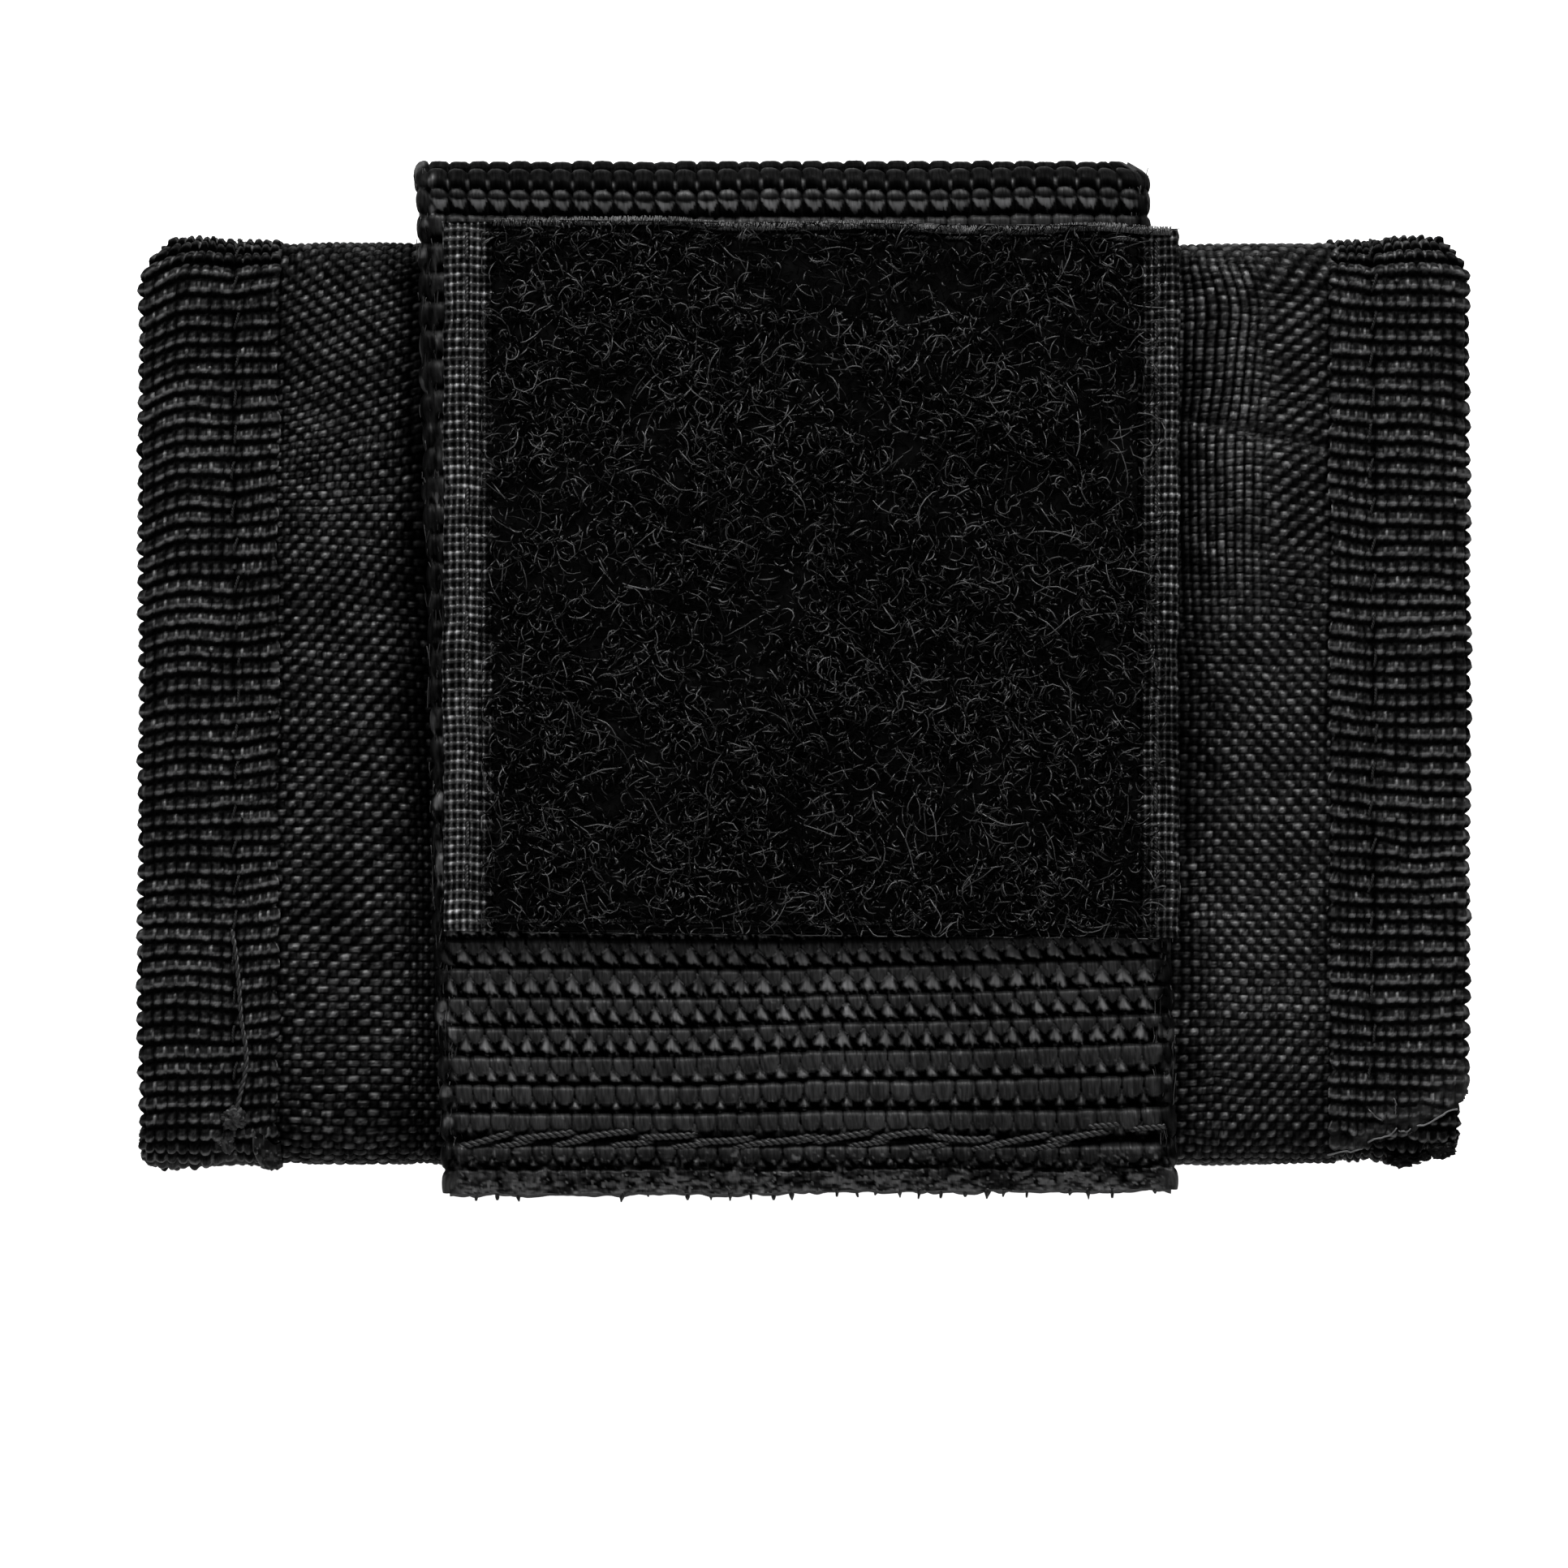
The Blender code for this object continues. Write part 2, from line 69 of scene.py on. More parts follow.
def cad(node):
    low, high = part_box(node)
    return np.array(low) / MM, np.array(high) / MM


# ---------------------------------------------------------- driving sizes
SLEEVE_LOW, SLEEVE_HIGH = cad("sleeve_shell")
HALF_X, HALF_Y = SLEEVE_HIGH[0], 31.8
BACK_Z, FRONT_Z = SLEEVE_LOW[2], SLEEVE_HIGH[2]
CORNER = 2.9  # the sleeve's corner radius
NET_ROWS, NET_COLUMNS = 150, 21  # points of the settling cloth, round and along the sleeve

TAPE_IN, TAPE_OUT = 36.5, 46.1  # the edge tape's inner edge and the mouth, from the middle
TAPE_RISE, TAPE_RISE_Y = 0.5, 0.36  # how far the tape's outline lies outside the sleeve's
SEAM_X = 39.4  # the tape's seam

BAND_WALL, BAND_HALF = 1.7, 25.4
BAND_FRONT = FRONT_Z + 0.3 + BAND_WALL
BAND_TOP, BAND_BEND = 37.5, 2.85  # the fold's height and bend radius
REAR_LIFT = cad("band_rear_seam")[1][2] + 0.05
BUNDLE = 1.47  # pitch of the band's bundles
RIB = 2.0  # pitch of its ribs
BAND_SIDE, BAND_TURN, BAND_BACK = 0.45, 8, 50  # edge bulge, steps round it, back columns

(PANEL_LEFT, PANEL_BOTTOM, PANEL_Z), (PANEL_RIGHT, PANEL_TOP, _) = cad("loop_panel")

STRAP_LOW, STRAP_TOP = (corner[2] for corner in cad("main_strap"))
PLATE_TOP = STRAP_TOP + 1.15
ROD_Z = PLATE_TOP + 3.05


# ---------------------------------------------------------------- numbers
def scramble(value):
    """A number from 0 to 65535 for each whole number."""
    value = value & 0x7FFFFFFF
    value = ((value ^ (value >> 13)) * 1274126177) & 0x7FFFFFFF
    return (value ^ (value >> 16)) & 0xFFFF


def noise(x, y, seed, cell=1.0):
    """Smooth value noise from -1 to 1."""
    x, y = np.asarray(x) / cell, np.asarray(y) / cell
    i, j = np.floor(x).astype(np.int64), np.floor(y).astype(np.int64)
    x, y = x - i, y - j
    x, y = x * x * (3 - 2 * x), y * y * (3 - 2 * y)

    def corner(i, j):
        return scramble(i * 374761393 + j * 668265263 + seed * 974711) / 32767.5 - 1

    low = corner(i, j) * (1 - x) + corner(i + 1, j) * x
    high = corner(i, j + 1) * (1 - x) + corner(i + 1, j + 1) * x
    return low * (1 - y) + high * y


def hash1(i, seed):
    """A number from 0 to 1 for each whole number."""
    whole = np.asarray(i).astype(np.int64)
    return scramble(whole * 668265263 + seed * 974711 + 12345) / 65535.0


def hash2(i, j, seed):
    return hash1(np.asarray(i) * 7919 + np.asarray(j) * 104729, seed)


def smooth(x, start, end):
    """Rises from 0 at start to 1 at end, which may be the lower of the two."""
    x = np.clip((np.asarray(x, float) - start) / (end - start), 0, 1)
    return x * x * (3 - 2 * x)


def patches(x, y, seed, cell, low, high):
    """Patches of noise: 0 where it is below low, 1 where it is above high."""
    return smooth(noise(x, y, seed, cell), low, high)


def bell(offset, width):
    return np.exp(-((offset / width) ** 2))


def hump(offset, power, root=0.5):
    """1 at offset 0, falling to 0 at 1 on either side; a higher power is flatter on top."""
    return np.maximum(0, 1 - np.abs(offset) ** power) ** root


def stack(*parts):
    """Points from their coordinates, which may be of different shapes."""
    return np.stack(np.broadcast_arrays(*parts), -1)


def unit(vectors):
    return vectors / np.maximum(np.linalg.norm(vectors, axis=-1, keepdims=True), 1e-9)


def spans(*pieces):
    """Stations through ranges, each (start, end, step), without repeats."""
    out = np.array([pieces[0][0]])
    for start, end, step in pieces:
        count = max(1, int(round(abs(end - start) / step)))
        out = np.concatenate([out, np.linspace(start, end, count + 1)[1:]])
    return out


def resample(points, closed=False):
    """A plane path's length, and a function from stations along it to points and normals."""
    points = np.array(points, float)
    if closed:
        points = np.vstack([points, points[:1]])
    steps = np.linalg.norm(np.diff(points, axis=0), axis=1)
    reach = np.concatenate([[0], np.cumsum(steps)])
    length = reach[-1]
    nudge = 0.02

    def point(station):
        station = station % length if closed else np.clip(station, 0, length)
        return np.stack([np.interp(station, reach, points[:, k]) for k in range(2)], -1)

    def at(station):
        station = np.asarray(station, float)
        way = unit(point(station + nudge) - point(station - nudge))
        return point(station), np.stack([-way[..., 1], way[..., 0]], -1)

    return length, at


def arc_points(x, y, radius, start, end, count=14):
    """Points along an arc between two angles in degrees."""
    turns = [math.radians(angle) for angle in np.linspace(start, end, count)]
    return [(x + radius * math.cos(turn), y + radius * math.sin(turn)) for turn in turns]


def sleeve_outline(grow, grow_y=None):
    """The sleeve's outline in (Y, Z) grown outwards, from the middle of its lower edge, through
    the front, the top and the back."""
    half = HALF_Y + (grow if grow_y is None else grow_y)
    low, high, radius = BACK_Z - grow, FRONT_Z + grow, CORNER + grow
    points = [(-half, (low + high) / 2)]
    for y, z, start in (
        (-half + radius, high - radius, 180),
        (half - radius, high - radius, 90),
        (half - radius, low + radius, 0),
        (-half + radius, low + radius, -90),
    ):
        points += arc_points(y, z, radius, start, start - 90, 17)
    return resample(points, closed=True)


def strip_section(line, end, steps, back=None):
    """Round a flat strip: its top along line, a turned edge at end, the back and the other edge.
    Returns the place across, the outward direction across and through it, and the face
    (1 top, -1 back, 0 edge)."""
    back = line[::-1] if back is None else back
    turn = math.pi * np.arange(1, steps) / steps

    def lay(top, edge, under):
        return np.concatenate([top + 0 * line, edge, under + 0 * back, -edge])

    return (
        lay(line, end + 0 * turn, back),
        lay(0, np.sin(turn), 0),
        lay(1, np.cos(turn), -1),
        lay(1, 0 * turn, -1),
    )


# ------------------------------------------------------------------ meshes
MATERIALS = {}  # every material by name


def new_mesh(name, verts, quads, material, body, attrs, uv=None, tris=()):
    mesh = bpy.data.meshes.new(name)
    quads = np.asarray(quads, np.int32).reshape(-1, 4)
    tris = np.asarray(tris, np.int32).reshape(-1, 3)
    loops = np.concatenate([quads.ravel(), tris.ravel()])
    sizes = np.repeat([4, 3], [len(quads), len(tris)])
    mesh.vertices.add(len(verts))
    mesh.vertices.foreach_set("co", (verts * MM).astype(np.float32).ravel())
    mesh.loops.add(len(loops))
    mesh.loops.foreach_set("vertex_index", loops)
    mesh.polygons.add(len(sizes))
    mesh.polygons.foreach_set("loop_start", (np.cumsum(sizes) - sizes).astype(np.int32))
    mesh.update(calc_edges=True)
    if uv is not None:
        layer = mesh.uv_layers.new(name="UVMap")
        layer.data.foreach_set("uv", np.asarray(uv, np.float32)[loops].ravel())
    for key, values in attrs.items():
        attribute = mesh.attributes.new(key, "FLOAT", "POINT")
        attribute.data.foreach_set("value", np.asarray(values, np.float32).ravel())
    mesh.materials.append(MATERIALS[material])
    mesh.shade_smooth()
    obj = bpy.data.objects.new(name, mesh)
    scene.collection.objects.link(obj)
    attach(obj, body)
    return obj


def piece_name(name, blocks, number):
    return name if blocks == 1 else f"{name}_{number}"


def grid(name, points, material, uv, shade, weft=0, body="carrier", close_u=False,
         close_v=False, flip=False, replaces=None):
    """A surface through points[u, v], cut into pieces along u when it is large."""
    rows, cols = points.shape[:2]
    spaces = rows if close_u else rows - 1
    blocks = max(1, math.ceil(spaces * cols / FACES))
    cuts = np.linspace(0, spaces, blocks + 1).round().astype(int)
    wrap = close_u and blocks == 1
    uv = np.stack([np.broadcast_to(part, (rows, cols)) for part in uv], -1)
    attrs = {"weft": np.broadcast_to(weft, (rows, cols))}
    attrs["shade"] = np.broadcast_to(shade, (rows, cols))
    for block in range(blocks):
        pick = np.arange(cuts[block], cuts[block + 1] + 1) % rows
        pick = np.arange(rows) if wrap else pick
        count = len(pick)
        i = np.arange(count if wrap else count - 1)[:, None]
        j = np.arange(cols if close_v else cols - 1)[None]
        next_i, next_j = (i + 1) % count * cols, (j + 1) % cols
        i = i * cols
        quads = np.stack([i + j, next_i + j, next_i + next_j, i + next_j], -1).reshape(-1, 4)
        if flip:
            quads = quads[:, ::-1]
        data = {key: values[pick] for key, values in attrs.items()}
        new_mesh(
            piece_name(name, blocks, block + 1), points[pick].reshape(-1, 3), quads,
            material, body, data, uv[pick].reshape(-1, 2),
        )
    if replaces:
        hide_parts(replaces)


def tubes(name, paths, radii, material, sides, shade=None, body="carrier", cap=True,
          replaces=None):
    """Round tubes through paths[tube, ring, 3], many to a mesh, cut into pieces when large."""
    paths = np.asarray(paths, float)
    count, rings = paths.shape[:2]
    radii = np.broadcast_to(radii, (count, rings))[..., None, None]
    way = unit(np.gradient(paths, axis=1))
    upright = np.abs(way[..., 2]).mean(1) > 0.75
    guide = np.where(upright[:, None, None], (0.9, 0.43, 0), (0, 0, 1.0))
    side = unit(np.cross(way, guide))
    up = np.cross(way, side)
    angle = (np.arange(sides) / sides * TAU)[:, None]
    circle = side[:, :, None] * np.cos(angle) + up[:, :, None] * np.sin(angle)
    verts = paths[:, :, None] + radii * circle
    size = rings * sides
    i, j = np.arange(rings - 1)[:, None] * sides, np.arange(sides)[None]
    next_j = (j + 1) % sides
    quads = np.stack([i + j, i + next_j, i + sides + next_j, i + sides + j], -1).reshape(-1, 4)
    tris = []
    if cap:
        last = size - sides
        tris = [(0, t + 1, t) for t in range(1, sides - 1)]
        tris += [(last, last + t, last + t + 1) for t in range(1, sides - 1)]
    tris = np.array(tris, int).reshape(-1, 3)
    chunk = max(1, FACES // (len(quads) + len(tris)))
    blocks = math.ceil(count / chunk)
    for block in range(blocks):
        low, high = block * chunk, min(count, (block + 1) * chunk)
        offset = (np.arange(high - low) * size)[:, None, None]
        attrs = {} if shade is None else {"shade": np.repeat(np.asarray(shade)[low:high], size)}
        new_mesh(
            piece_name(name, blocks, block + 1), verts[low:high].reshape(-1, 3),
            quads + offset, material, body, attrs, tris=tris + offset,
        )
    if replaces:
        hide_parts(replaces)


def inside_out(points):
    """Whether the faces of a tube points[u, v], closed along v, would point inwards."""
    here = points - points.mean((0, 1))
    start, end = here[:-1], here[1:]
    end_next, start_next = np.roll(end, -1, 1), np.roll(start, -1, 1)
    volume = (start * np.cross(end, end_next)).sum()
    return float(volume + (start * np.cross(end_next, start_next)).sum()) < 0


def turned_from(points, way):
    """Whether the faces of a sheet points[u, v] point away from a direction."""
    along, across = points[1:, :-1] - points[:-1, :-1], points[:-1, 1:] - points[:-1, :-1]
    return float(np.cross(along, across).sum((0, 1)) @ np.asarray(way, float)) < 0


# --------------------------------------------------------------- materials
class Mat:
    """Builds one node material. An input takes a value or another node's output."""

    def __init__(self, name):
        material = bpy.data.materials.new(name)
        material.use_nodes = True
        self.tree = material.node_tree
        MATERIALS[name] = material

    def fill(self, node, inputs):
        for key, value in inputs.items():
            if isinstance(value, bpy.types.NodeSocket):
                self.tree.links.new(value, node.inputs[key])
            else:
                node.inputs[key].default_value = value

    def add(self, kind, inputs=None, output=0, **settings):
        node = self.tree.nodes.new("ShaderNode" + kind)
        for key, value in settings.items():
            setattr(node, key, value)
        self.fill(node, inputs or {})
        return node.outputs[output]

    def surface(self, inputs):
        self.fill(self.tree.nodes["Principled BSDF"], inputs)

    def coords(self):
        return self.add("TexCoord", output="Object")

    def uv(self):
        return self.add("UVMap", output="UV")

    def attr(self, name):
        return self.add("Attribute", output="Fac", attribute_name=name)

    def scaled(self, vector, scale):
        return self.add("Mapping", {"Vector": vector, "Scale": scale})

    def noise(self, vector, scale, detail=2.0, rough=0.55):
        inputs = {"Vector": vector, "Scale": scale, "Detail": detail, "Roughness": rough}
        return self.add("TexNoise", inputs, "Fac")

    def calc(self, operation, *values, clamp=False):
        inputs = dict(enumerate(values))
        return self.add("Math", inputs, operation=operation, use_clamp=clamp)

    def remap(self, value, low, high, span=(0.3, 0.7)):
        """Brings the span of a value to low and high."""
        inputs = {"Value": value, "From Min": span[0], "From Max": span[1]}
        return self.add("MapRange", inputs | {"To Min": low, "To Max": high}, "Result")

    def ramp(self, factor, *stops):
        output = self.add("ValToRGB", {"Fac": factor}, "Color")
        elements = output.node.color_ramp.elements
        while len(elements) < len(stops):
            elements.new(0.5)
        for element, (position, colour) in zip(elements, stops):
            element.position = position
            element.color = (*colour, 1)
        return output

    def tinted(self, factor, low, high):
        """Mixes two colours; a factor above 1 goes past the second."""
        inputs = {0: factor, 6: (*low, 1), 7: (*high, 1)}
        return self.add("Mix", inputs, 2, data_type="RGBA", clamp_factor=False)

    def bump(self, height, strength, distance):
        inputs = {"Strength": strength, "Distance": distance, "Height": height}
        return self.add("Bump", inputs, "Normal")


def grey(value):
    """A faintly blue grey."""
    return (value, value, value * 1.03)


def yarn_material(name, colour, specular, smoothest, roughest, bump):
    """Multifilament nylon: fine filaments along each yarn, with its own shade for every float."""
    mat = Mat(name)
    uv = mat.uv()
    # two sets of filaments over UVs in mm; the "weft" attribute picks the one on top
    inputs = {
        0: mat.attr("weft"),
        2: mat.noise(mat.scaled(uv, (14.0, 1.1, 1)), 1.0, detail=3.0, rough=0.6),
        3: mat.noise(mat.scaled(uv, (1.1, 14.0, 1)), 1.0, detail=3.0, rough=0.6),
    }
    filament = mat.add("Mix", inputs, data_type="FLOAT")
    cloud = mat.noise(mat.coords(), 60.0, detail=3.0)
    span = (0.25, 0.75)
    shade = mat.calc("MULTIPLY", mat.attr("shade"), mat.remap(cloud, 0.775, 1.225))
    shade = mat.calc("MULTIPLY", shade, mat.remap(filament, 0.65, 1.35, span))
    mat.surface({
        "Base Color": mat.tinted(shade, (0, 0, 0), colour),
        "Roughness": mat.remap(filament, roughest, smoothest, span),
        "Specular IOR Level": mat.calc("MULTIPLY", shade, specular, clamp=True),
        "Normal": mat.bump(filament, strength=bump, distance=0.00006),
    })


def plain_material(name, base, rough, specular, grain, bump):
    """Thread, ground or melt with fine grain and slight wear."""
    mat = Mat(name)
    coords = mat.coords()
    fine = mat.noise(coords, grain, detail=4.0, rough=0.6)
    cloud = mat.noise(coords, 45.0, detail=3.0)
    mat.surface({
        "Base Color": mat.ramp(cloud, (0.3, grey(base * 0.8)), (0.7, grey(base * 1.25))),
        "Roughness": mat.remap(fine, rough - 0.08, rough + 0.08),
        "Specular IOR Level": specular,
        "Normal": mat.bump(fine, strength=bump, distance=0.00003),
    })


def pile_material():
    mat = Mat("pile_fibre")
    shade = mat.attr("shade")
    fine = mat.noise(mat.coords(), 3000.0)
    mat.surface({
        "Base Color": mat.tinted(shade, (0.002, 0.002, 0.002), grey(0.014)),
        "Roughness": mat.remap(fine, 0.3, 0.5),
        "Specular IOR Level": mat.calc("MULTIPLY", shade, 0.6, clamp=True),
    })


def lining_material():
    """The back of the sleeve's weave: yarns crossing in small squares."""
    mat = Mat("lining_cloth")
    uv = mat.uv()
    drift = mat.add("TexNoise", {"Scale": 0.12, "Vector": uv}, "Color")
    place = mat.add("VectorMath", {0: uv, 1: drift}, operation="ADD")
    parts = mat.add("SeparateXYZ", {0: place}).node.outputs
    waves = [mat.calc("SINE", mat.calc("MULTIPLY", parts[k], math.pi / 0.60)) for k in (0, 1)]
    lump = mat.calc("MULTIPLY", *waves)
    tall = mat.calc("POWER", mat.calc("ABSOLUTE", lump), 0.5)
    tone = mat.calc("MULTIPLY", tall, mat.remap(lump, 0.45, 1.0, span=(-0.2, 0.2)))
    grain = mat.noise(mat.scaled(uv, (7, 7, 1)), 1.0)
    tone = mat.calc("MULTIPLY", tone, mat.remap(grain, 0.6, 1.3))
    mat.surface({
        "Base Color": mat.ramp(tone, (0.15, grey(0.002)), (1.0, grey(0.020))),
        "Roughness": 0.6,
        "Specular IOR Level": mat.calc("MULTIPLY", tone, 0.35, clamp=True),
        "Normal": mat.bump(tall, strength=1.0, distance=0.00018),
    })


def moulded_material(base=0.016, rough=0.45):
    """Moulded nylon: fine spark-eroded grain, slight flow marks and rubbed edges."""
    mat = Mat("moulded_nylon")
    coords = mat.coords()
    grain = mat.noise(coords, 2600.0, detail=3.0, rough=0.6)
    flow = mat.noise(mat.scaled(coords, (60, 240, 240)), 1.0)
    edge = mat.add("NewGeometry", output="Pointiness")
    worn = mat.calc("MULTIPLY", mat.remap(edge, 0.0, 1.0, span=(0.52, 0.60)), 0.3)
    tone = mat.calc("ADD", mat.remap(flow, 0.25, 0.6), worn, clamp=True)
    stops = (0.0, grey(base * 0.5)), (0.5, grey(base)), (1.0, grey(base * 2.4))
    mat.surface({
        "Base Color": mat.ramp(tone, *stops),
        "Roughness": mat.remap(grain, rough - 0.09, rough + 0.09),
        "Specular IOR Level": 0.45,
        "Normal": mat.bump(grain, strength=0.45, distance=0.00004),
    })


def alloy_material():
    """Black anodised aluminium: turning marks round the rod, pale where it has rubbed."""
    mat = Mat("anodised_alloy")
    coords = mat.coords()
    lathe = mat.noise(mat.scaled(coords, (4200, 90, 90)), 1.0)
    rubbed = mat.noise(coords, 130.0, detail=5.0, rough=0.7)
    stops = (0.35, grey(0.028)), (0.60, grey(0.045)), (0.72, grey(0.16))
    mat.surface({
        "Base Color": mat.ramp(rubbed, *stops),
        "Roughness": mat.remap(lathe, 0.26, 0.42),
        "Metallic": 0.85,
        "Normal": mat.bump(lathe, strength=0.35, distance=0.00002),
    })


YARNS = (
    # name, colour, specular, smoothest and roughest, bump
    ("sleeve_cloth", grey(0.013), 0.42, 0.38, 0.60, 0.5),
    ("tape_cloth", grey(0.013), 0.40, 0.40, 0.60, 0.5),
    ("elastic_cloth", grey(0.014), 0.42, 0.42, 0.60, 0.6),
    ("selvedge_cloth", grey(0.022), 0.8, 0.28, 0.45, 0.5),
    ("webbing_cloth", grey(0.020), 0.45, 0.42, 0.6, 0.5),
    ("tab_cloth", (0.36, 0.012, 0.010), 0.3, 0.42, 0.6, 0.5),
    ("label_cloth", (0.62, 0.62, 0.59), 0.3, 0.5, 0.65, 0.5),
)
PLAINS = (
    # name, grey, roughness, specular, grain scale, bump
    ("fine_thread", 0.008, 0.55, 0.3, 2500.0, 0.6),
    ("inner_cloth", 0.008, 0.75, 0.2, 1500.0, 0.5),
    ("stitch_thread", 0.016, 0.42, 0.5, 2500.0, 0.5),
    # the pile's ground is painted nearly black, painted shade under the fibres
    ("pile_base", 0.0012, 0.9, 0.1, 2500.0, 0.7),
    ("melted_edge", 0.022, 0.4, 0.5, 900.0, 0.8),
    ("melted_drops", 0.006, 0.35, 0.35, 900.0, 0.6),
)


def make_materials():
    for row in YARNS:
        yarn_material(*row)
    for row in PLAINS:
        plain_material(*row)
    pile_material()
    lining_material()
    moulded_material()
    alloy_material()


# ------------------------------------------------------------------ weaves
def plain_weave(x, y, pitch_x, pitch_y, height, seed, weft, warp):
    """A plain weave: crosswise yarns (weft) run along x, lengthwise ones (warp) along y.
    Returns the height, whether the crosswise yarn is on top, and a shade for each float."""
    x, y = x / pitch_x - 0.5, y / pitch_y - 0.5
    col, row = np.round(x), np.round(y)
    # the crosswise float nearest in this row, and the lengthwise one nearest in this column
    shift = (1 - row) % 2
    weft_at = 2 * np.round((x - shift) / 2) + shift
    shift = col % 2
    warp_at = 2 * np.round((y - shift) / 2) + shift
    weft_lump = hump((x - weft_at) / 0.62, 2) * hump((y - row) / 0.43, 2)
    warp_lump = hump((y - warp_at) / 0.60, 2) * hump((x - col) / 0.42, 2) * 0.88
    top = weft_lump > warp_lump
    lump = np.maximum(weft_lump, warp_lump)
    # The weft and warp gains set how bright each set of floats is painted, painted light for how
    # the floats' curves face the lamps; the shade falls steeply towards the gaps, painted shade
    # between the floats.
    weft_shade = weft * (0.48 + 0.85 * hash2(weft_at, row, seed))
    warp_shade = warp * (0.35 + 1.3 * hash2(col, warp_at, seed + 1))
    shade = 0.012 + np.where(top, weft_shade, warp_shade) * lump**2.2
    return height * lump, top.astype(float), shade


def herringbone(x, y, seed, pitch_x=1.5, pitch_y=2.0, height=0.15):
    """Webbing: bundles along y whose floats step sideways, turning back every nine bundles."""
    x_at = x / pitch_x + noise(x, y, seed + 5, 7.0) * 0.05
    col = np.floor(x_at)
    step = np.abs((col + 60) % 18 - 9)
    y_at = y / pitch_y + step * 0.25 + noise(x, y, seed, 6.0) * 0.05
    row = np.floor(y_at)
    lump = hump((x_at - col - 0.5) / 0.48, 2.6) * hump((y_at - row - 0.5) / 0.48, 2.6)
    own = (0.55 + 0.8 * hash2(col, row, seed + 1)) * (0.75 + 0.5 * noise(x, y, seed + 2, 0.35))
    # each float's shade falls off towards its edges: painted shade between the floats
    return height * lump, 0.06 + own * lump**1.5


# -------------------------------------------------------------- the sleeve
AROUND, OUTLINE = sleeve_outline(0)


def settle(x0, x1, seed):
    """The free cloth between the band and a tape, a little too long for the gap, swells over its
    stuffing. Returns how far each point of a coarse net ends up from the flat outline."""
    big = 20.0  # the cloth is settled at this scale
    around = (np.arange(NET_ROWS) / NET_ROWS * AROUND)[:, None]
    x = np.linspace(x0, x1, NET_COLUMNS)[None]
    yz, normal = OUTLINE(around)
    lump = noise(x, around, seed, 5.0) * 0.15
    start = stack(x, yz[..., 0] + normal[..., 0] * lump, yz[..., 1] + normal[..., 1] * lump)
    i, j = np.arange(NET_ROWS)[:, None] * NET_COLUMNS, np.arange(NET_COLUMNS - 1)[None]
    below = (i + NET_COLUMNS) % (NET_ROWS * NET_COLUMNS)
    quads = np.stack([i + j, i + j + 1, below + j + 1, below + j], -1).reshape(-1, 4)
    mesh = bpy.data.meshes.new("settling_cloth")
    mesh.from_pydata((start * MM * big).reshape(-1, 3).tolist(), [], quads.tolist())
    mesh.update()
    net = bpy.data.objects.new("settling_cloth", mesh)
    scene.collection.objects.link(net)
    pin = net.vertex_groups.new(name="pin")
    index = np.arange(NET_ROWS * NET_COLUMNS).reshape(NET_ROWS, NET_COLUMNS)
    pin.add(index[:, [0, 1, -2, -1]].ravel().tolist(), 1.0, "REPLACE")
    cloth = net.modifiers.new("cloth", "CLOTH")
    for key, value in dict(
        quality=5,
        mass=0.3,
        air_damping=2.0,
        tension_stiffness=20,
        compression_stiffness=20,
        shear_stiffness=8,
        bending_stiffness=0.3,
        vertex_group_mass="pin",
        shrink_min=-0.06,
        use_pressure=True,
        uniform_pressure_force=3.0,
    ).items():
        setattr(cloth.settings, key, value)
    cloth.settings.effector_weights.gravity = 0
    cloth.collision_settings.use_collision = False
    for number in range(1, 21):
        scene.frame_set(number)
    done = net.evaluated_get(bpy.context.evaluated_depsgraph_get())
    flat = done.to_mesh()
    end = np.empty(len(flat.vertices) * 3, np.float32)
    flat.vertices.foreach_get("co", end)
    done.to_mesh_clear()
    bpy.data.objects.remove(net)
    bpy.data.meshes.remove(mesh)
    scene.frame_set(1)
    move = end.reshape(NET_ROWS, NET_COLUMNS, 3) / (MM * big) - start
    out = move[..., 1] * normal[..., 0] + move[..., 2] * normal[..., 1] + lump
    return np.clip(out, -0.6, 2.0)


SETTLED = [
    (x0, x1, settle(x0, x1, seed)) for x0, x1, seed in ((-37.2, -24.6, 7), (24.6, 37.2, 19))
]


def settled(x, around):
    """The settled cloth's stand-out, smoothly between the net's points."""
    value = 0 * x
    row_at = (around / AROUND * NET_ROWS) % NET_ROWS
    row = np.floor(row_at).astype(int) % NET_ROWS
    down = row_at - np.floor(row_at)
    down = down * down * (3 - 2 * down)
    for x0, x1, net in SETTLED:
        col_at = np.clip((x - x0) / (x1 - x0), 0, 1) * (NET_COLUMNS - 1)
        col = np.clip(np.floor(col_at).astype(int), 0, NET_COLUMNS - 2)
        over = col_at - col
        over = over * over * (3 - 2 * over)

        def between(row):
            return net[row, col] * (1 - over) + net[row, col + 1] * over

        here = between(row) * (1 - down) + between((row + 1) % NET_ROWS) * down
        value = value + np.where((x >= x0) & (x <= x1), here, 0)
    return value


def crease_off(x, y):
    """How far a point of the front lies above the crease that slopes across its right end."""
    return (y - 19.9) + (x - 25.6) * 0.2


def drawn_in(x, y, depth, start, end):
    """x with the mouths' upper corners rounded off."""
    return x - np.sign(x) * depth * smooth(y, start, end) ** 1.4 * np.clip(
        (np.abs(x) - 40) / 5, 0, 1
    )


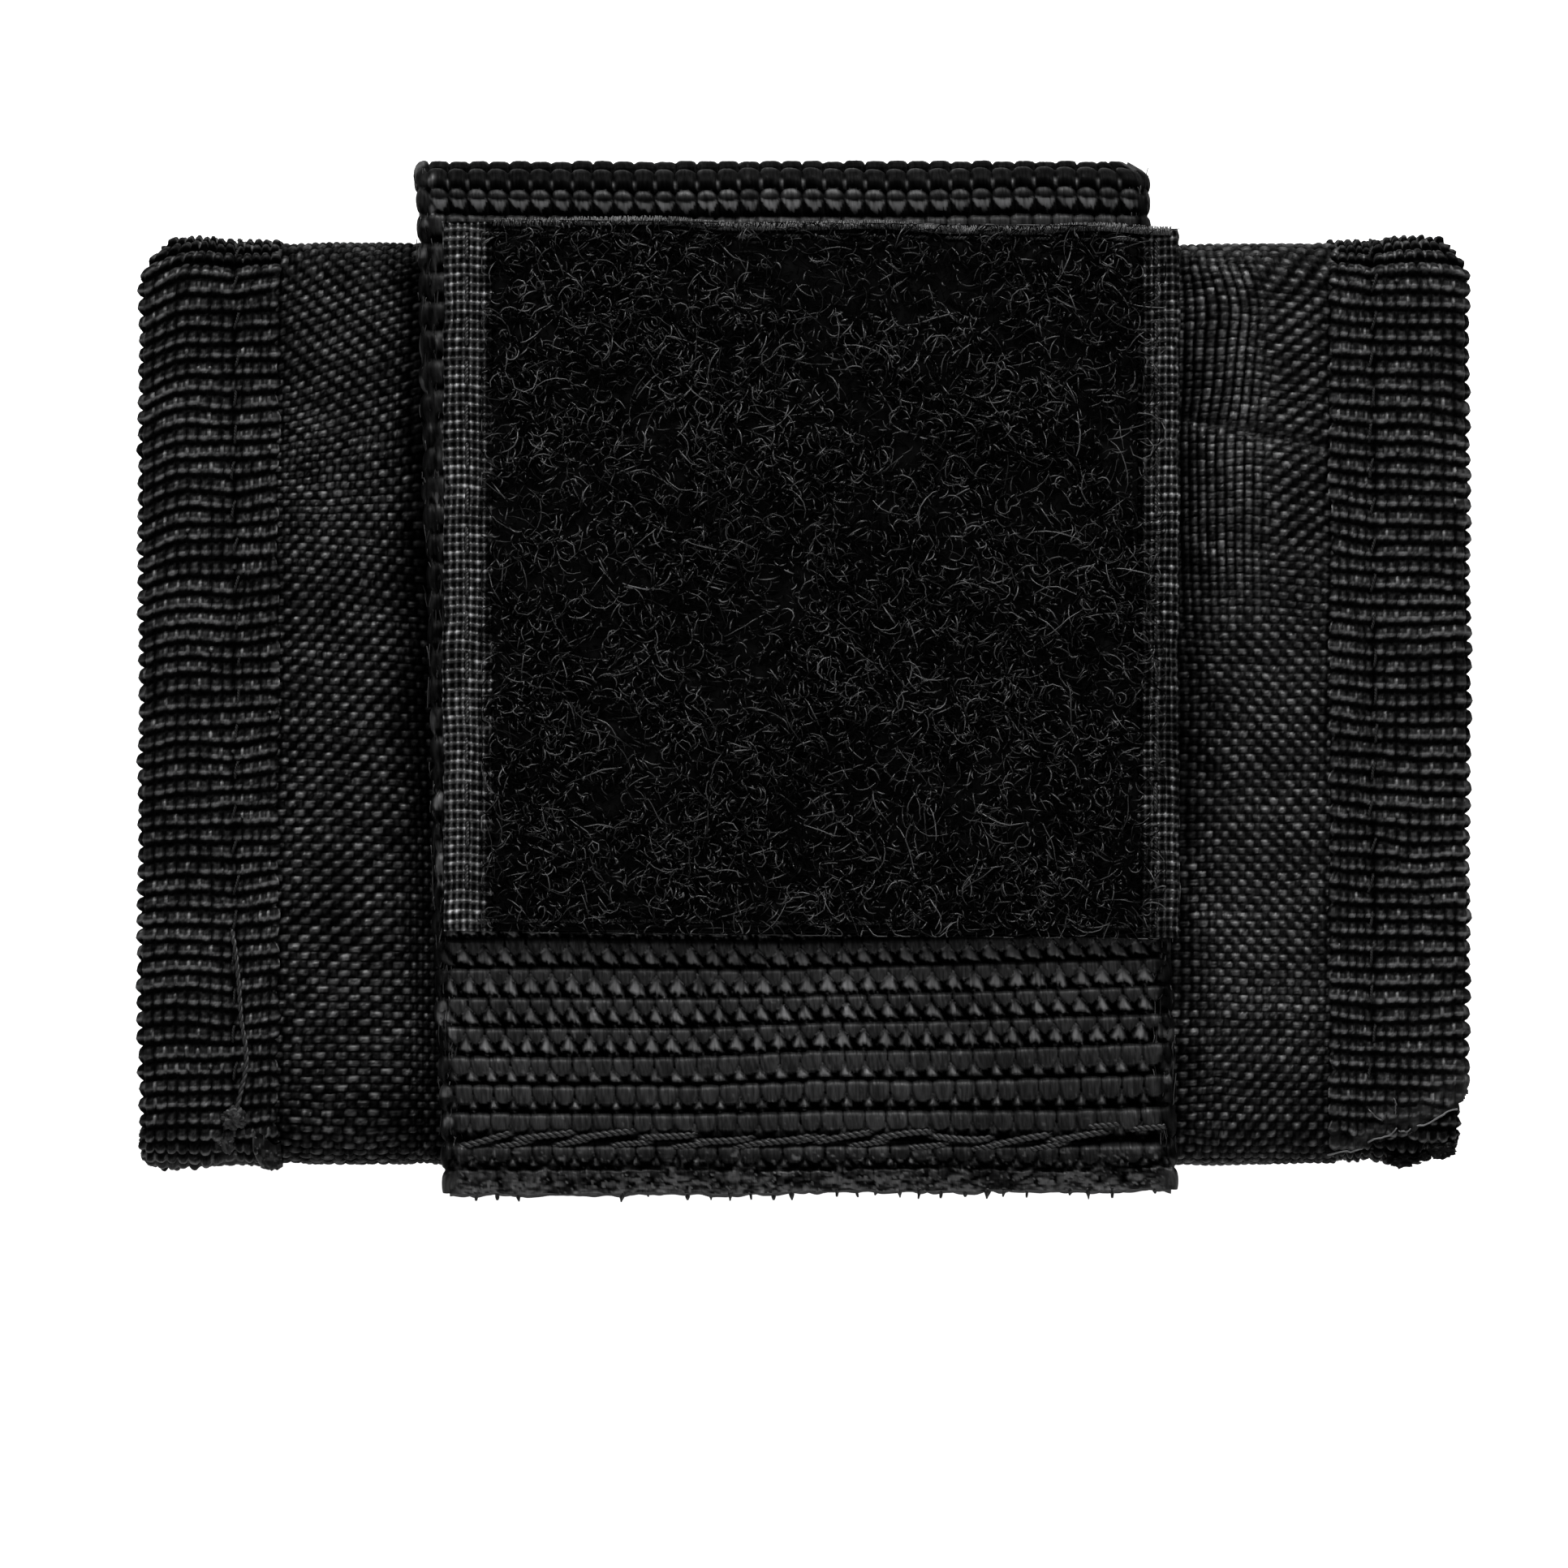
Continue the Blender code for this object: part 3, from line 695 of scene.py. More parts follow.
def soft_shape(x, around, y, z, facing):
    """How far the sleeve's cloth stands out of its flat outline."""
    reach = np.abs(x)
    front, back = smooth(facing, 0.5, 1.0), smooth(-facing, 0.5, 1.0)
    side = 1 - front - back
    free = smooth(reach, 25.6, 28.5)
    out = settled(x, around) * (0.34 * front + 0.22 * back + 0.10 * side)
    out = out * smooth(reach, 24.6, 27.0)
    # pressed down under the band and its edges
    out += -0.55 * front * (1 - smooth(reach, 25.5, 30.5)) - 0.25 * back
    # diagonal drag lines across the free cloth
    drag_left = noise(x * 0.9 + y * 0.55, x * 0.12 - y * 0.16, 11, 2.6)
    drag_right = noise(x * 0.9 - np.abs(y - 6) * 0.6, x * 0.1 + y * 0.12, 23, 2.4)
    out += (front * 0.9 + back * 0.6) * free * np.where(x < 0, drag_left, drag_right) * 0.16
    out += side * noise(x, z * 0.7 + np.sign(y) * 40, 31, 5.5) * 0.16
    # a soft crease across the right of the front, where the pack inside ends
    out -= front * smooth(x, 25, 27) * 0.42 * bell(crease_off(x, y), 0.5)
    # tuck into the tape
    return out - front * smooth(reach, 35.2, 36.8) * 0.25


def sleeve_yarns(x, around, y, z, facing):
    """Where the wandering yarns put each point: across the columns and along the rows."""
    front = smooth(facing, 0.5, 1.0)
    wander = noise(x, y, 5, 9.0) * 0.5 + noise(x, y + z, 6, 3.5) * 0.15
    # columns lean
    lean = np.where(
        x < 0,
        0.9 * np.sin((y - 4) / 11.0) + 0.35 * (x + 31) * np.sin(y / 17.0),
        -np.tanh((y - 10) / 9.0) * (x - 31) * 0.12,
    )
    across = x + wander * 0.5 + lean * smooth(np.abs(x), 25, 28) * 0.5
    slip = 0.11 * (y - 17.0) * smooth(y, 15, 22) * smooth(x, 24.0, 31.0)
    across = across - np.where(x > 0, slip, 0.0) * front * smooth(y, 32.0, 26.5)
    # rows climb away from the band
    climb_right = smooth(x, 28, 33) * (x - 31) * 0.13 * smooth(y, 2, 12)
    climb = np.where(
        x < 0,
        -(x + 31) * (-0.04 + 0.36 * smooth(y, 9, 24)),
        climb_right + 0.45 * np.tanh(crease_off(x, y) / 0.35),
    )
    along = around + wander * 0.35 + climb * np.sign(facing + 0.01) * np.abs(facing)
    along = along + noise(x, around, 8, 2.2) * 0.10
    # the wander fades at the closing seam, so the yarn count stays whole
    fade = smooth(np.minimum(around, AROUND - around), 0.0, 4.0)
    return across, around + (along - around) * fade


def sleeve_weave(x, around, y, z, facing):
    """Yarn places, height, top yarn and shade of the sleeve's cloth."""
    pitch_x = 0.60
    pitch_y = AROUND / (2 * round(AROUND / 0.575 / 2))
    front = smooth(facing, 0.5, 1.0)
    across, along = sleeve_yarns(x, around, y, z, facing)
    # beside the panel the lengthwise yarns ride up over the crosswise ones
    ride = np.where(x > 0, smooth(x, 33.0, 30.5) * smooth(y, 4, 11), 0.0) * front
    # the crosswise floats are painted far brighter than the lengthwise ones: painted light, for
    # floats whose curve faces the lamps above and below
    height, top, shade = plain_weave(
        across, along, pitch_x, pitch_y, 0.30, 3, weft=2.25 - ride, warp=0.42 + 2.5 * ride
    )
    col_at, row_at = across / pitch_x - 0.5, along / pitch_y - 0.5
    col, row = np.round(col_at), np.round(row_at)
    # so that they stand in columns with a dark line between
    shade = shade * (1 - 0.88 * ride * smooth(np.abs(col_at - col), 0.22, 0.42))
    shade = shade * (1 + ride * 0.9 * (hash2(col, row, 17) - 0.35))
    # specks and clouds; the brightest specks are painted glints off the filaments
    shade = shade * (
        0.30
        + 1.3 * patches(across, along, 13, 0.17, -0.7, 0.8)
        + 2.2 * patches(across, along, 14, 0.17, 0.58, 0.9)
    )
    shade = shade * (1 - 0.40 * patches(x, around, 9, 4.0, -0.3, 0.9))
    shade = shade * (0.75 + 0.5 * patches(across, along, 15, 1.5, -0.8, 0.8))
    # near the tape the cloth is pulled on the bias, and its floats run together in slanting lines
    upper = smooth(x, 30.5, 33.5) * smooth(y, 8, 12)
    lower = smooth(y, 8, 4) * smooth(y, -21, -17) + smooth(y, -21, -25)
    lower = 0.62 * smooth(x, 27.0, 30.0) * lower
    left = 0.55 * smooth(y, 17, 25) + 0.62 * smooth(y, 15, 9) * smooth(y, -27, -15)
    bias = np.where(x > 0, upper + lower, left * smooth(-x, 26.5, 29.0)) * front
    rising = np.where(x > 0, (y > 8) | (y < -21), y < 16)
    chain = 0.5 - 0.5 * np.cos(math.pi * np.where(rising, col_at - row_at, col_at + row_at))
    shade = shade * (1 - 0.85 * bias * (1 - chain))
    shade = shade + bias * 0.55 * chain**4 * (0.3 + 0.9 * hash2(col, row, 18))
    # the crease is drawn tight, with painted shade along it and a few bright fibres
    crease = crease_off(x, y)
    line = np.where(x > 0, smooth(x, 25.3, 26.5) * smooth(x, 37.5, 36.0), 0.0)
    line = bell(crease, 0.42) * line * front
    fibres = patches(x * 0.55 - y * 0.5, crease + 0.15 * np.sin(x * 3.1), 16, 0.20, 0.05, 0.7)
    shade = shade * (1 - 0.8 * line) + line * (0.05 + 0.75 * fibres)
    # in the shade of the band's edge
    near = front * (1 - smooth(np.abs(x), 26.2, np.where(x < 0, 30.0, 27.8)))
    shade = shade * (1 - (0.86 - 0.3 * (x > 0)) * (0.45 + 0.55 * smooth(y, -24, -4)) * near)
    # brighter on the right and darker towards the top; painted shade towards the bottom, where the
    # cloth turns under
    shade = np.where(x > 0, shade * 1.28 + 0.05 * (1 - top), shade)
    shade = shade * (1 - 0.55 * smooth(y, 26.5, 31.0) * np.where(x < 0, 1, 0.6))
    return across, along, height, top, shade * (1 - 0.38 * smooth(-y, 21, 29))


def sleeve_block(name, x, around, replaces=None):
    x, around = x[None], around[:, None]
    yz, normal = OUTLINE(around)
    y, z, facing = yz[..., 0], yz[..., 1], normal[..., 1]
    across, along, height, top, shade = sleeve_weave(x, around, y, z, facing)
    out = soft_shape(x, around, y, z, facing) + height - 0.02
    out = out - 0.6 * smooth(np.abs(x), 36.9, 37.5)
    points = stack(
        drawn_in(x, y, 1.9, 29.0, 32.0), y + normal[..., 0] * out, z + facing * out
    )
    grid(name, points, "sleeve_cloth", (across, along), shade, top,
         close_u=True, replaces=replaces)


def sleeve():
    middle, tucked, end = 23.5, 37.4, HALF_X - 0.6
    fine, coarse = 0.105, 0.8
    count = 2 * round(AROUND / 0.232)
    around = np.arange(count) * (AROUND / count)
    left = spans((-end, -tucked, coarse), (-tucked, -middle, fine))
    right = spans((middle, tucked, fine), (tucked, end, coarse))
    sleeve_block("sleeve_left", left, around, "sleeve_shell")
    sleeve_block("sleeve_right", right, around)
    # between the band's runs only the bottom shows
    bottom = 11
    around = spans(
        (0, bottom, 0.19), (bottom, AROUND - bottom, 0.7), (AROUND - bottom, AROUND, 0.19)
    )
    sleeve_block("sleeve_middle", spans((-middle, middle, 0.21)), around[:-1])


def lining():
    """The inside face of the sleeve."""
    length, outline = sleeve_outline(-0.8)
    around = (np.arange(320) / 320 * length)[:, None]
    x = np.linspace(-HALF_X, HALF_X, 90)[None]
    yz, normal = outline(around)
    bulge = noise(x, around, 41, 7.0) * 0.12 + 0.1
    points = stack(
        drawn_in(x, yz[..., 0], 2.1, 28.5, 31.5),
        yz[..., 0] + normal[..., 0] * bulge,
        yz[..., 1] + normal[..., 1] * bulge,
    )
    grid("sleeve_lining", points, "lining_cloth", (x, around), 1,
         close_u=True, flip=True)


# ------------------------------------------------------------- edge tapes
SEAM_ACROSS = SEAM_X - TAPE_IN


def cut_line(across):
    """Height of the right tape's slanted cut end on the front, by distance from its inner edge."""
    return -31.5 + 0.16 * across + 0.029 * across * across + 0.12 * np.sin(across * 2.1)


def tape_section():
    """The tape's section in (x, normal), from its inner edge out to the mouth, round it and back
    inside: points, outward directions and distances along it."""
    bend, steps = 0.82, 16
    flat = TAPE_OUT - TAPE_IN - bend
    points = [(TAPE_IN + x, 0.0) for x in spans((0.0, flat, 0.11))]
    points += arc_points(TAPE_OUT - bend, -bend, bend, 90, -90, steps + 1)[1:]
    points += [(TAPE_OUT - bend - x, -2 * bend) for x in spans((0.6, flat, 0.6))]
    points = np.array(points)
    across = np.concatenate([[0], np.cumsum(np.linalg.norm(np.diff(points, axis=0), axis=1))])
    way = unit(np.gradient(points, axis=0))
    return points, np.stack([-way[:, 1], way[:, 0]], -1), across


def tape_weave(sign, across, around, along, length, over):
    """The tape's rows of beads. Returns height, each row's crest, the bars of painted highlight
    along the crests, and shade.
    """
    rib = length / round(length / 1.15)
    row = np.floor(along / rib)
    part = along / rib - row - 0.5
    col_at = across / 0.60
    past = SEAM_ACROSS / 0.60 + (across - SEAM_ACROSS) / 0.79
    col_at = np.where(across < SEAM_ACROSS, col_at, past)
    col_at = col_at + noise(across, around, 63 + sign, 2.0) * 0.10
    # each row is a line of beads, with a float along its crest that carries a painted highlight,
    # the bright bar
    col = np.floor(col_at)
    off = col_at - (col + 0.5)
    tilt = part + 0.045 * noise(across, around, 60 + sign, 0.9)
    tilt = tilt + 0.07 * (hash2(col, row, 59 + sign) - 0.5)
    crest = hump((tilt + 0.06) / np.where(tilt > -0.06, 0.53, 0.31), 2)
    # at the mouth the rows swell into round beads
    mouth = smooth(across, 7.4, 8.8)
    crest = crest * (1 - mouth) + mouth * hump(part / 0.47, 2)
    bead = hump(off / 0.435, 3.0, root=0.6)
    height = crest * bead * 0.44 * (0.8 + 0.4 * hash2(col, row, 61 + sign))
    # ties between the beads, in some places only
    tie = bell(np.abs(off) - 0.5, 0.105) * hump((part - 0.10) / 0.30, 2)
    rarity = 0.72 - 0.55 * patches(across, around, 65 + sign, 2.5, 0.0, 0.7)
    tie = tie * (hash2(np.round(col_at), row, 64 + sign) > rarity)
    bar = bell(tilt + 0.10 - 0.25 * off**2, 0.085) * (0.75 + 0.25 * np.cos(off * 2.2))
    height = np.maximum(height, tie * 0.36) + bar * 0.06

    # Shade: a dark floor in the gaps between rows, painted shade; bulbs painted lighter on their
    # upper halves and darker towards their edges, painted light and shade; the bar painted as a
    # bright highlight on a float.
    base, bulb_gain, bar_highlight_gain = (0.07, 0.66, 4.2) if sign < 0 else (0.09, 0.85, 5.0)
    own = 0.3 + 1.4 * hash2(col, row, 91 + sign) ** 1.2
    bulb = 0.15 + 0.30 * smooth(tilt, -0.05, 0.15) * smooth(tilt, 0.42, 0.25)
    bulb = crest**2 * bead * bulb * (0.5 + hash2(col, row, 93 + sign))
    shade = base + bulb * bulb_gain + bar_highlight_gain * bar * bead**0.30 * own
    # where the rows turn over the top, only the beads' upper rims catch the light
    rim = bell(tilt - 0.30 + 1.1 * off**2, 0.08) * bead**1.2
    rim = rim * 1.5 * (0.4 + 0.8 * hash2(col, row, 92 + sign))
    shade = shade * (1 - 0.80 * over) + over * rim
    # loose ends along the tape's inner edge
    loose = bell(across - 0.16, 0.11) * patches(across * 0.6, around, 98 + sign, 0.33, 0.35, 0.8)
    shade = (shade + loose * 1.3 * (1 - over)) * (1 - 0.35 * smooth(across, 7.6, 9.2))
    shade = np.maximum(shade, tie * 3.4 * (0.5 + hash2(col, row, 96 + sign)))
    grain = 0.5 + patches(across, around, 94 + sign, 0.13, -0.8, 0.8)
    grain = grain + 1.8 * patches(across, around, 95 + sign, 0.15, 0.66, 0.95)
    return height, crest, bar, shade * grain


def tape(side, sign):
    length, outline = sleeve_outline(TAPE_RISE, TAPE_RISE_Y)
    count = int(length / 0.115)
    around = (np.arange(count) / count * length)[:, None]
    yz, normal = outline(around)
    y, facing = yz[..., 0], normal[..., 1]
    section, outward, across = tape_section()
    across = across[None]
    # rows run level at the seam and are drawn towards mid height at the mouth
    if sign < 0:
        draw, bow = 0.25 + 0.75 * smooth(y, -14, 14), 0.75
    else:
        draw, bow = np.maximum(np.tanh((y - 12.0) / 7.0), -0.12), 0.30
    bow = bow * (np.clip(across - SEAM_ACROSS - 2.9, 0, 3.3) / 2.9) ** 2 * draw * facing
    bow = bow - 0.10 * np.clip(SEAM_ACROSS - across, 0, 3) * facing
    along = around + bow + noise(across, around, 51 + sign, 3.0) * 0.16
    along = along + noise(across, around, 53 + sign, 11.0) * 0.3
    # the cloth near the cut end has softened and lies in disorder
    if sign > 0:
        under = (y < cut_line(across)) * (facing > -0.2) * 1.0
        along = along + under * 0.5 + under * noise(across, around, 57, 1.3) * 0.35
        near = bell(y - cut_line(across) - 0.8, 1.3) * (1 - under) * smooth(facing, 0.3, 0.8)
        along = along + near * noise(across, around, 58, 0.9) * 0.30
        melt = near * patches(across, around, 66, 1.1, -0.3, 0.5)
        rough = near * noise(across, around, 67, 0.7) * 0.14
    else:
        under = 0
        near = smooth(-y, 30.3, 32.0) * (facing > -0.2)
        along = along + near * noise(across, around, 59, 1.0) * 0.35
        lowest = smooth(-y, 31.2, 32.2) * 0.8
        melt = near * smooth(noise(across, around, 68, 1.2) + lowest, 0.2, 0.7)
        rough = near * noise(across, around, 69, 0.8) * 0.12
    along = around + (along - around) * smooth(np.minimum(around, length - around), 0, 3)
    over = smooth(normal[..., 0], 0.12, 0.55) * (facing > -0.1)
    height, crest, bar, shade = tape_weave(sign, across, around, along, length, over)
    # the tape puffs out past the seam, and is drawn in at the seam and its inner edge
    from_seam = across - SEAM_ACROSS
    puff = 0.26 * smooth(from_seam, 0.1, 2.4) * (1 - smooth(from_seam, 4.5, 7.5) * 0.7)
    pull = -0.20 * bell(from_seam, 0.34) * (0.8 + 0.2 * np.cos(around / 2.6 * TAU))
    form = puff + pull - 0.1 * bell(across, 0.35) + noise(across, around, 71 + sign, 4.5) * 0.14
    out = form * (across < TAPE_OUT - TAPE_IN) + height - 0.28 - under * 0.42 + rough
    flat = 1 - 0.65 * melt
    out = out * flat + (1 - flat) * 0.05
    off = section[:, 1] + outward[:, 1] * out
    x = section[:, 0] + outward[:, 0] * out
    lift = 0
    if sign > 0:
        lift = 0.75 * smooth(x, 42.9, 43.25) * smooth(-y, 30.6, 31.4)
    # the mouth's upper corner is rounded off, and its edge wavers
    weight = np.clip((section[:, 0] - TAPE_IN - 4.0) / 5.0, 0, 1)
    x = x - (1.75 if sign < 0 else 1.35) * smooth(y, 29.0, 32.6) ** 1.4 * weight
    x = x - under * 0.35 * weight + noise(around, across, 81 + sign, 6.0) * 0.10 * (across > 2)
    # the inner edge steps in and out with the rows
    step = 0.20 * crest - 0.10 + 0.16 * noise(around, 0, 83 + sign, 0.9)
    x = x - step * bell(across, 0.35)
    points = stack(sign * x, y + normal[..., 0] * off + lift, yz[..., 1] + facing * off)
    # painted shade in the seam's groove and on the lower layer below the cut end
    shade = shade * (1 - 0.45 * bell(from_seam, 0.4)) * (1 - 0.55 * under)
    melt_shade = 0.30 + 0.5 * patches(across, around, 97, 0.35, 0, 0.8)
    shade = shade * (1 - melt * 0.7) + melt * melt_shade
    grid(f"binding_tape_{side}", points, "tape_cloth", (across, along), shade, bar,
         close_u=True, flip=sign < 0, replaces=f"edge_binding_{side}")


# the tapes' outer face, and where it begins to turn towards the bottom edge
TAPE_FACE, TAPE_BEND = FRONT_Z + TAPE_RISE, CORNER + TAPE_RISE
TAPE_TURN_Y = -(HALF_Y + TAPE_RISE_Y - TAPE_BEND)


def skin(y):
    """Height of the tape's outer face."""
    past = np.maximum(0, TAPE_TURN_Y - y)
    return TAPE_FACE - TAPE_BEND + np.sqrt(np.maximum(0.05, TAPE_BEND * TAPE_BEND - past**2))


MELT_RUNS = (
    # shade, radius, rise over the tape, then (x, y) along the run
    (9.0, 0.062, 0.20,
     [(36.35, -31.36), (36.9, -31.2), (37.4, -31.08), (37.9, -31.12), (38.7, -30.88)]),
    (6.5, 0.062, 0.20,
     [(39.1, -30.45), (39.5, -30.22), (39.9, -30.18), (40.65, -29.92), (41.1, -29.46)]),
    (5.0, 0.062, 0.20, [(41.2, -29.66), (41.7, -29.72), (42.1, -29.48)]),
    (9.0, 0.062, 0.20,
     [(42.2, -29.33), (42.95, -29.22), (43.6, -28.9), (44.4, -28.4), (44.84, -28.22),
      (45.3, -28.12)]),
    (3.5, 0.05, 0.30, [(39.1, -28.1), (39.5, -28.6), (40.1, -28.9)]),
    (3.0, 0.05, 0.30, [(40.8, -27.3), (41.0, -27.7), (40.95, -28.5)]),
)
KNOT, DROP = (0.48, 1.5), (0.30, 0.30)  # roughness and shade of a lump
MELT_LUMPS = (
    # name, centre, half sizes, seed, kind
    ("binding_knot_upper", (-39.55, -28.75, TAPE_FACE + 0.12), (0.80, 0.62, 0.30), 611, KNOT),
    ("binding_knot_lower", (-40.3, -30.4, skin(-30.4) + 0.08), (0.62, 0.78, 0.26), 617, KNOT),
    ("binding_drop_left", (-44.55, -32.2, TAPE_FACE - 2.9), (0.22, 0.34, 0.22), 623, DROP),
    ("binding_lump_right_a", (41.6, -31.70, skin(-31.7) - 0.15), (1.25, 0.52, 0.5), 631, DROP),
    ("binding_lump_right_b", (43.1, -31.40, skin(-31.4) - 0.1), (0.42, 0.40, 0.3), 637, DROP),
    ("binding_lump_right_c", (44.3, -31.0, skin(-31.0) - 0.1), (0.95, 0.55, 0.42), 641, DROP),
)


def melt_line():
    """A bright bead of melt along the right tape's end."""
    paths, radii = [], []
    along = np.linspace(0, 1, 28)
    for n, (_, radius, rise, run) in enumerate(MELT_RUNS):
        length, at = resample(run)
        here, _ = at(np.linspace(0, length, 28))
        here = here + 0.035 * stack(noise(along * 9, n, 601), noise(along * 9, n, 602))
        high = skin(here[:, 1]) + rise - 0.16 * np.abs(2 * along - 1) ** 4
        paths.append(np.column_stack([here, high]))
        swell = 0.75 + 0.45 * noise(along * 6, n, 603) ** 2 + 0.2 * np.sin(along * math.pi)
        radii.append(radius * swell)
    tubes("binding_melt_line", paths, np.array(radii), "pile_fibre", sides=6,
          shade=[run[0] for run in MELT_RUNS])


def melt_lump(name, centre, size, seed, kind):
    """A small closed lump, for melted knots and drops."""
    rough, tone = kind
    down = np.linspace(0.02, math.pi - 0.02, 22)[:, None]
    turn = (np.arange(36) / 36 * TAU)[None]
    way = stack(np.sin(down) * np.cos(turn), np.sin(down) * np.sin(turn), np.cos(down))
    x, y, z = way[..., 0] * 2, way[..., 1] * 2, way[..., 2]
    lump = noise(x + z, y - z, seed, 0.55) + 0.5 * noise(x - z, y + z, seed + 1, 0.2)
    lump = lump * np.sin(down) ** 0.5
    points = np.array(centre) + way * (1 + rough * lump[..., None]) * np.array(size)
    glint = patches(turn * 3, down * 3, seed + 2, 0.35, 0.55, 0.9)
    shade = np.maximum(tone * (0.5 + 0.5 * lump + 2.5 * glint), 0.05)
    grid(name, points, "tape_cloth", (turn, down), shade, close_v=True,
         flip=inside_out(points))


def loose_thread():
    """The left seam's thread has slipped out and hangs down to its knot."""
    length, at = resample([
        (-39.7, -15.4), (-39.35, -17.4), (-39.13, -19.9), (-39.0, -22.0),
        (-38.62, -24.1), (-38.66, -25.4), (-39.2, -27.7), (-39.5, -28.7),
    ])
    station = np.linspace(0, length, 420)
    window = 41  # points averaged to soften the corners
    x, y = (
        np.convolve(np.pad(line, window // 2, mode="edge"), np.ones(window) / window, "valid")
        for line in at(station)[0].T
    )
    high = skin(y) + 0.24 + 0.05 * noise(station, 0, 661, 1.6)
    high = high - 0.5 * (1 - smooth(station, 0, 1.2)) - 0.2 * smooth(station, length - 1, length)
    twist, ply = station * 5.4, 0.085
    plies = [
        stack(x + ply * np.cos(twist + start), y, high + ply * np.sin(twist + start))
        for start in (0, math.pi)
    ]
    tubes("binding_loose_thread", plies, 0.10, "stitch_thread", sides=7)


def tape_flap():
    """The curled flap at the left tape's lower inner corner."""
    across, along = np.linspace(0, 1, 46)[:, None], np.linspace(0, 1, 60)[None]
    x = -38.05 + 1.75 * across + 0.22 * np.sin(along * 5 + 1) * (1 - across)
    turn = 14 + 72 * (1 - along * (1 - 0.25 * across))
    turn = np.radians(turn + 3 * noise(across * 4, along * 4, 651))
    off = TAPE_BEND + 0.12 + 0.24 * np.sin(across * math.pi)
    off = off + 0.07 * noise(across * 8, along * 8, 652)

    def face(off):
        return stack(
            x, TAPE_TURN_Y - off * np.sin(turn), TAPE_FACE - TAPE_BEND + off * np.cos(turn)
        )

    top = face(off)
    y = top[..., 1]
    shade = 0.12 + 0.5 * patches(x, y, 653, 0.28, 0.0, 0.9)
    shade = shade + 1.6 * patches(x, y, 654, 0.16, 0.55, 0.9) + 2.2 * bell(across, 0.05)
    sheet = np.concatenate([top, face(off - 0.24)[::-1]], 0)
    # the underside is painted much darker than the top: painted shade under the curl
    shade = np.concatenate([shade, shade[::-1] * 0.3], 0)
    grid("binding_flap", sheet, "tape_cloth", (sheet[..., 0], sheet[..., 1]), shade,
         close_u=True, flip=turned_from(top, Z_AXIS))


def tapes():
    tape("left", -1)
    tape("right", 1)
    melt_line()
    for lump in MELT_LUMPS:
        melt_lump(*lump)
    loose_thread()
    tape_flap()


# --------------------------------------------------------------- the band
def band_path():
    """The band's outer face in (Y, Z): front run from its cut end, over the top, down the back."""
    y = BAND_TOP - BAND_BEND
    points = [(-33.9, BAND_FRONT), (y, BAND_FRONT)]
    points += arc_points(y, BAND_FRONT - BAND_BEND, BAND_BEND, 84, 0, 15)
    points += arc_points(y, BAND_BEND, BAND_BEND, 0, -90, 16)
    points += [(-17.0, 0.0)]
    for step in range(1, 11):
        part = step / 10
        points.append((-17 - 11 * step / 10, REAR_LIFT * (3 * part**2 - 2 * part**3)))
    return resample(points + [(-33.3, REAR_LIFT)])


BAND_LENGTH, BAND_AT = band_path()


def band_middle(y):
    """The band's centre line leans a little."""
    return -0.5 - 0.0267 * y


